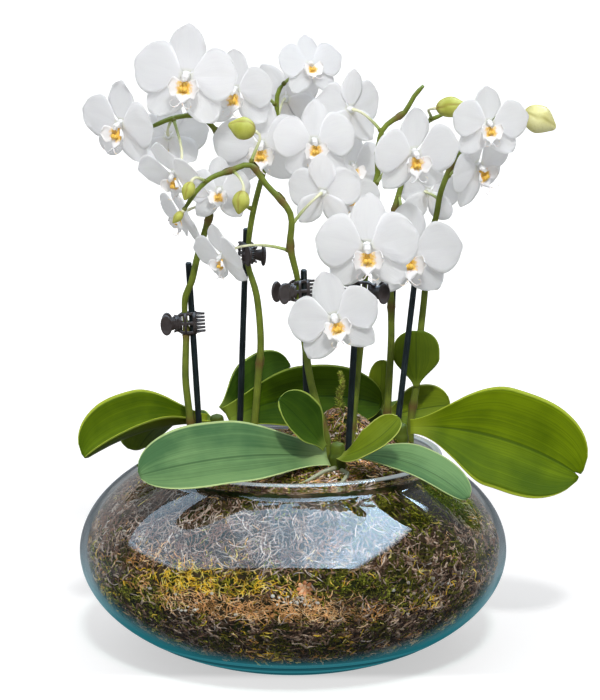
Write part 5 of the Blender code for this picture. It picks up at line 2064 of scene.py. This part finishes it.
@dataclass
class Studio:
    """The camera, a plain pale floor and soft studio light. The floor's reaches are in metres."""

    camera_at: Triple = (0.0, -1700.0, 538.0)
    camera_tilt: float = 79.95
    camera_turn: float = -0.18
    lens: float = 135.4
    sensor: float = 36.0
    sky: float = 0.40
    white_sky: float = 1.06
    backdrop: float = 0.32
    dim_side: float = 0.03
    floor_glow: float = 0.53
    far_floor: Pair = (0.35, 1.6)
    far_glow: float = 0.5
    # Painted light: the floor is painted brighter just in front of the bowl, where the bowl's shade falls
    near_floor: Pair = (-0.080, -0.062)
    near_painted_light: float = 0.18
    overhead_height: float = 1600.0
    overhead_drop: float = 10.0
    overhead_power: float = 0.45
    shine_power: float = 5.2
    shine_colour: Colour = (0.58, 0.79, 1.0)
    shines: tuple[tuple[str, float, float, float], ...] = (
        ("overhead shine", -2.34, 0.86, 0.32), ("overhead shine inner", -2.22, 0.78, 0.30),
        ("right shine", -0.40, 0.88, 0.30), ("right shine inner", -0.14, 0.84, 0.35),
        ("far right shine", 0.08, 0.90, 0.5), ("far right shine inner", 0.26, 0.86, 0.6),
        ("right end shine", 0.42, 0.80, 0.7), ("left shine", -2.42, -2.0, 0.5),
    )
    key_at: Triple = (150.0, -2100.0, 2300.0)
    key_size: float = 260.0
    key_power: float = 260.0

    def build_camera(self) -> None:
        """Places the camera at the photograph's viewing angle."""
        data = bpy.data.cameras.new("camera")
        data.sensor_fit = "HORIZONTAL"
        data.sensor_width = self.sensor
        data.lens = self.lens
        data.clip_end = 200.0
        camera = into_scene("camera", data)
        camera.location = mm(self.camera_at)
        camera.rotation_euler = (radians(self.camera_tilt), 0, radians(self.camera_turn))
        bpy.context.scene.camera = camera

    def build_world(self) -> None:
        """A white sky, which lights evenly and which gloss sees bright behind the bowl and dim elsewhere."""
        world = bpy.data.worlds.new("sky")
        world.use_nodes = True
        sky = Nodes(world.node_tree)
        path = sky.add("LightPath").outputs
        gloss = sky.step(sky.axis("Generated", "Y"), 0.1, 0.75)
        gloss = sky.plus(self.dim_side, sky.times(gloss, self.backdrop - self.dim_side))
        lit = sky.add("Mix", {0: path["Is Glossy Ray"], 2: self.sky, 3: gloss}).outputs[0]
        back = world.node_tree.nodes["Background"]
        sky.set(back, "Color", (0.95, 0.97, 1.0))
        seen = sky.add("Mix", {0: path["Is Camera Ray"], 2: lit, 3: self.white_sky}).outputs[0]
        sky.set(back, "Strength", seen)
        bpy.context.scene.world = world

    def build_floor(self) -> None:
        """A wide pale floor that turns into an even white backdrop away from the object, painted brighter
        just in front of the bowl.
        """
        shape = bmesh.new()
        bmesh.ops.create_circle(shape, cap_ends=True, segments=96, radius=90.0)
        mesh = into_mesh("floor", shape)
        ground = Surface("pale floor", 0.8)
        path = ground.add("LightPath").outputs
        here = ground.add("TexCoord").outputs["Object"]
        away = ground.add("VectorMath", {0: here}, operation="LENGTH").outputs["Value"]
        depth = ground.axis("Object", "Y")
        mirrored = ground.mix(ground.step(depth, -0.04, 0.14), (0.05, 0.05, 0.055), (0.24, 0.26, 0.28))
        far, near = ground.step(away, *self.far_floor), ground.fade(depth, *self.near_floor)
        glow = ground.plus(self.floor_glow, ground.times(far, self.far_glow))
        # Painted light in front of the bowl, over the bowl's shade
        glow = ground.plus(glow, ground.times(near, self.near_painted_light))
        mesh.materials.append(ground.dress({
            "Base Color": ground.mix(path["Is Glossy Ray"], (0.56, 0.56, 0.563), mirrored),
            "Specular IOR Level": 0.0,
            "Emission Color": WHITE,
            "Emission Strength": ground.times(glow, path["Is Camera Ray"]),
        }))
        floor = into_scene("floor", mesh)

    @staticmethod
    def add_panel(
        name: str, place: Triple, aim: Triple, size: Pair, power: float, colour: Colour = WHITE,
        hidden_from: Sequence[str] = ("glossy", "transmission"),
    ) -> None:
        """Adds a soft rectangular light that the camera doesn't see.

        Args:
            name: The light's name.
            place: Its middle.
            aim: The point that it faces.
            size: Its two sides.
            power: The brightness of its face.
            colour: Its colour.
            hidden_from: The other kinds of rays that don't see it.
        """
        data = bpy.data.lights.new(name, "AREA")
        data.shape = "RECTANGLE"
        data.size, data.size_y = size[0] / 1000.0, size[1] / 1000.0
        data.energy = power * pi * data.size * data.size_y
        data.color = colour
        light = into_scene(name, data)
        light.location = mm(place)
        light.rotation_euler = (Vector(aim) - Vector(place)).to_track_quat("-Z", "Y").to_euler()
        for ray in ("camera", *hidden_from):
            setattr(light, f"visible_{ray}", False)

    def build(self) -> None:
        """Makes the whole studio."""
        scene = bpy.context.scene
        scene.view_settings.view_transform = "Standard"
        scene.cycles.use_denoising = True
        self.build_camera()
        self.build_world()
        self.build_floor()
        reach = self.overhead_height
        x, y, z = -0.75 * reach, -0.25 * reach, reach + 120.0
        size = (3.1 * reach, 1.9 * reach)
        self.add_panel("overhead", (x, y, z), (x, y, 0.0), size, self.overhead_power, (0.97, 0.985, 1.0))
        # Gloss sees the overhead light brighter at its two ends. Each panel lies just below the one before
        for layer, (name, low, high, power) in enumerate(self.shines, 1):
            place = ((low + high) / 2 * reach, y, z - self.overhead_drop * layer)
            self.add_panel(
                name, place, (place[0], y, 0.0), ((high - low) * reach, size[1]), self.shine_power * power,
                self.shine_colour, ("diffuse", "transmission"),
            )
        self.add_panel("key", self.key_at, (0.0, 0.0, 150.0), (self.key_size, self.key_size), self.key_power)


def main() -> None:
    """Builds every sub-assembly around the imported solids, and reports each piece."""
    logging.basicConfig(level=logging.INFO, format="%(name)s: %(message)s")
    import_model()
    Studio().build()
    effects = Effects()

    GlassBowl().build(effects)
    Planting().build(effects)

    crown = CROWN_FINISH.make(effects)
    for name, place in CROWNS.items():
        Crown(name, place).build(crown)

    tones = {tone: finish.make(effects, f"{tone.value} leaf") for tone, finish in LEAF_FINISHES.items()}
    under = LEAF_UNDER.make(effects, "leaf underside")
    for name, plan in LEAVES.items():
        StrapLeaf(name, plan).build(tones, under)

    stems = [finish.make(effects) for finish in STEM_FINISHES]
    coated, plastic, spring = (finish.make(effects) for finish in (STAKE_FINISH, CLIP_FINISH, SPRING_FINISH))
    for plan in SPIKES:
        FlowerSpike(plan, [bloom for bloom in BLOOMS if bloom.spike == plan.name]).build(stems)
        Stake(plan).build(coated)
        SpringClip(plan).build(plastic, spring)

    flower = [finish.make(effects) for finish in (PetalFinish(), LipFinish(), COLUMN_FINISH)]
    for plan in BLOOMS:
        Bloom(plan).build(flower)


if __name__ == "__main__":
    main()
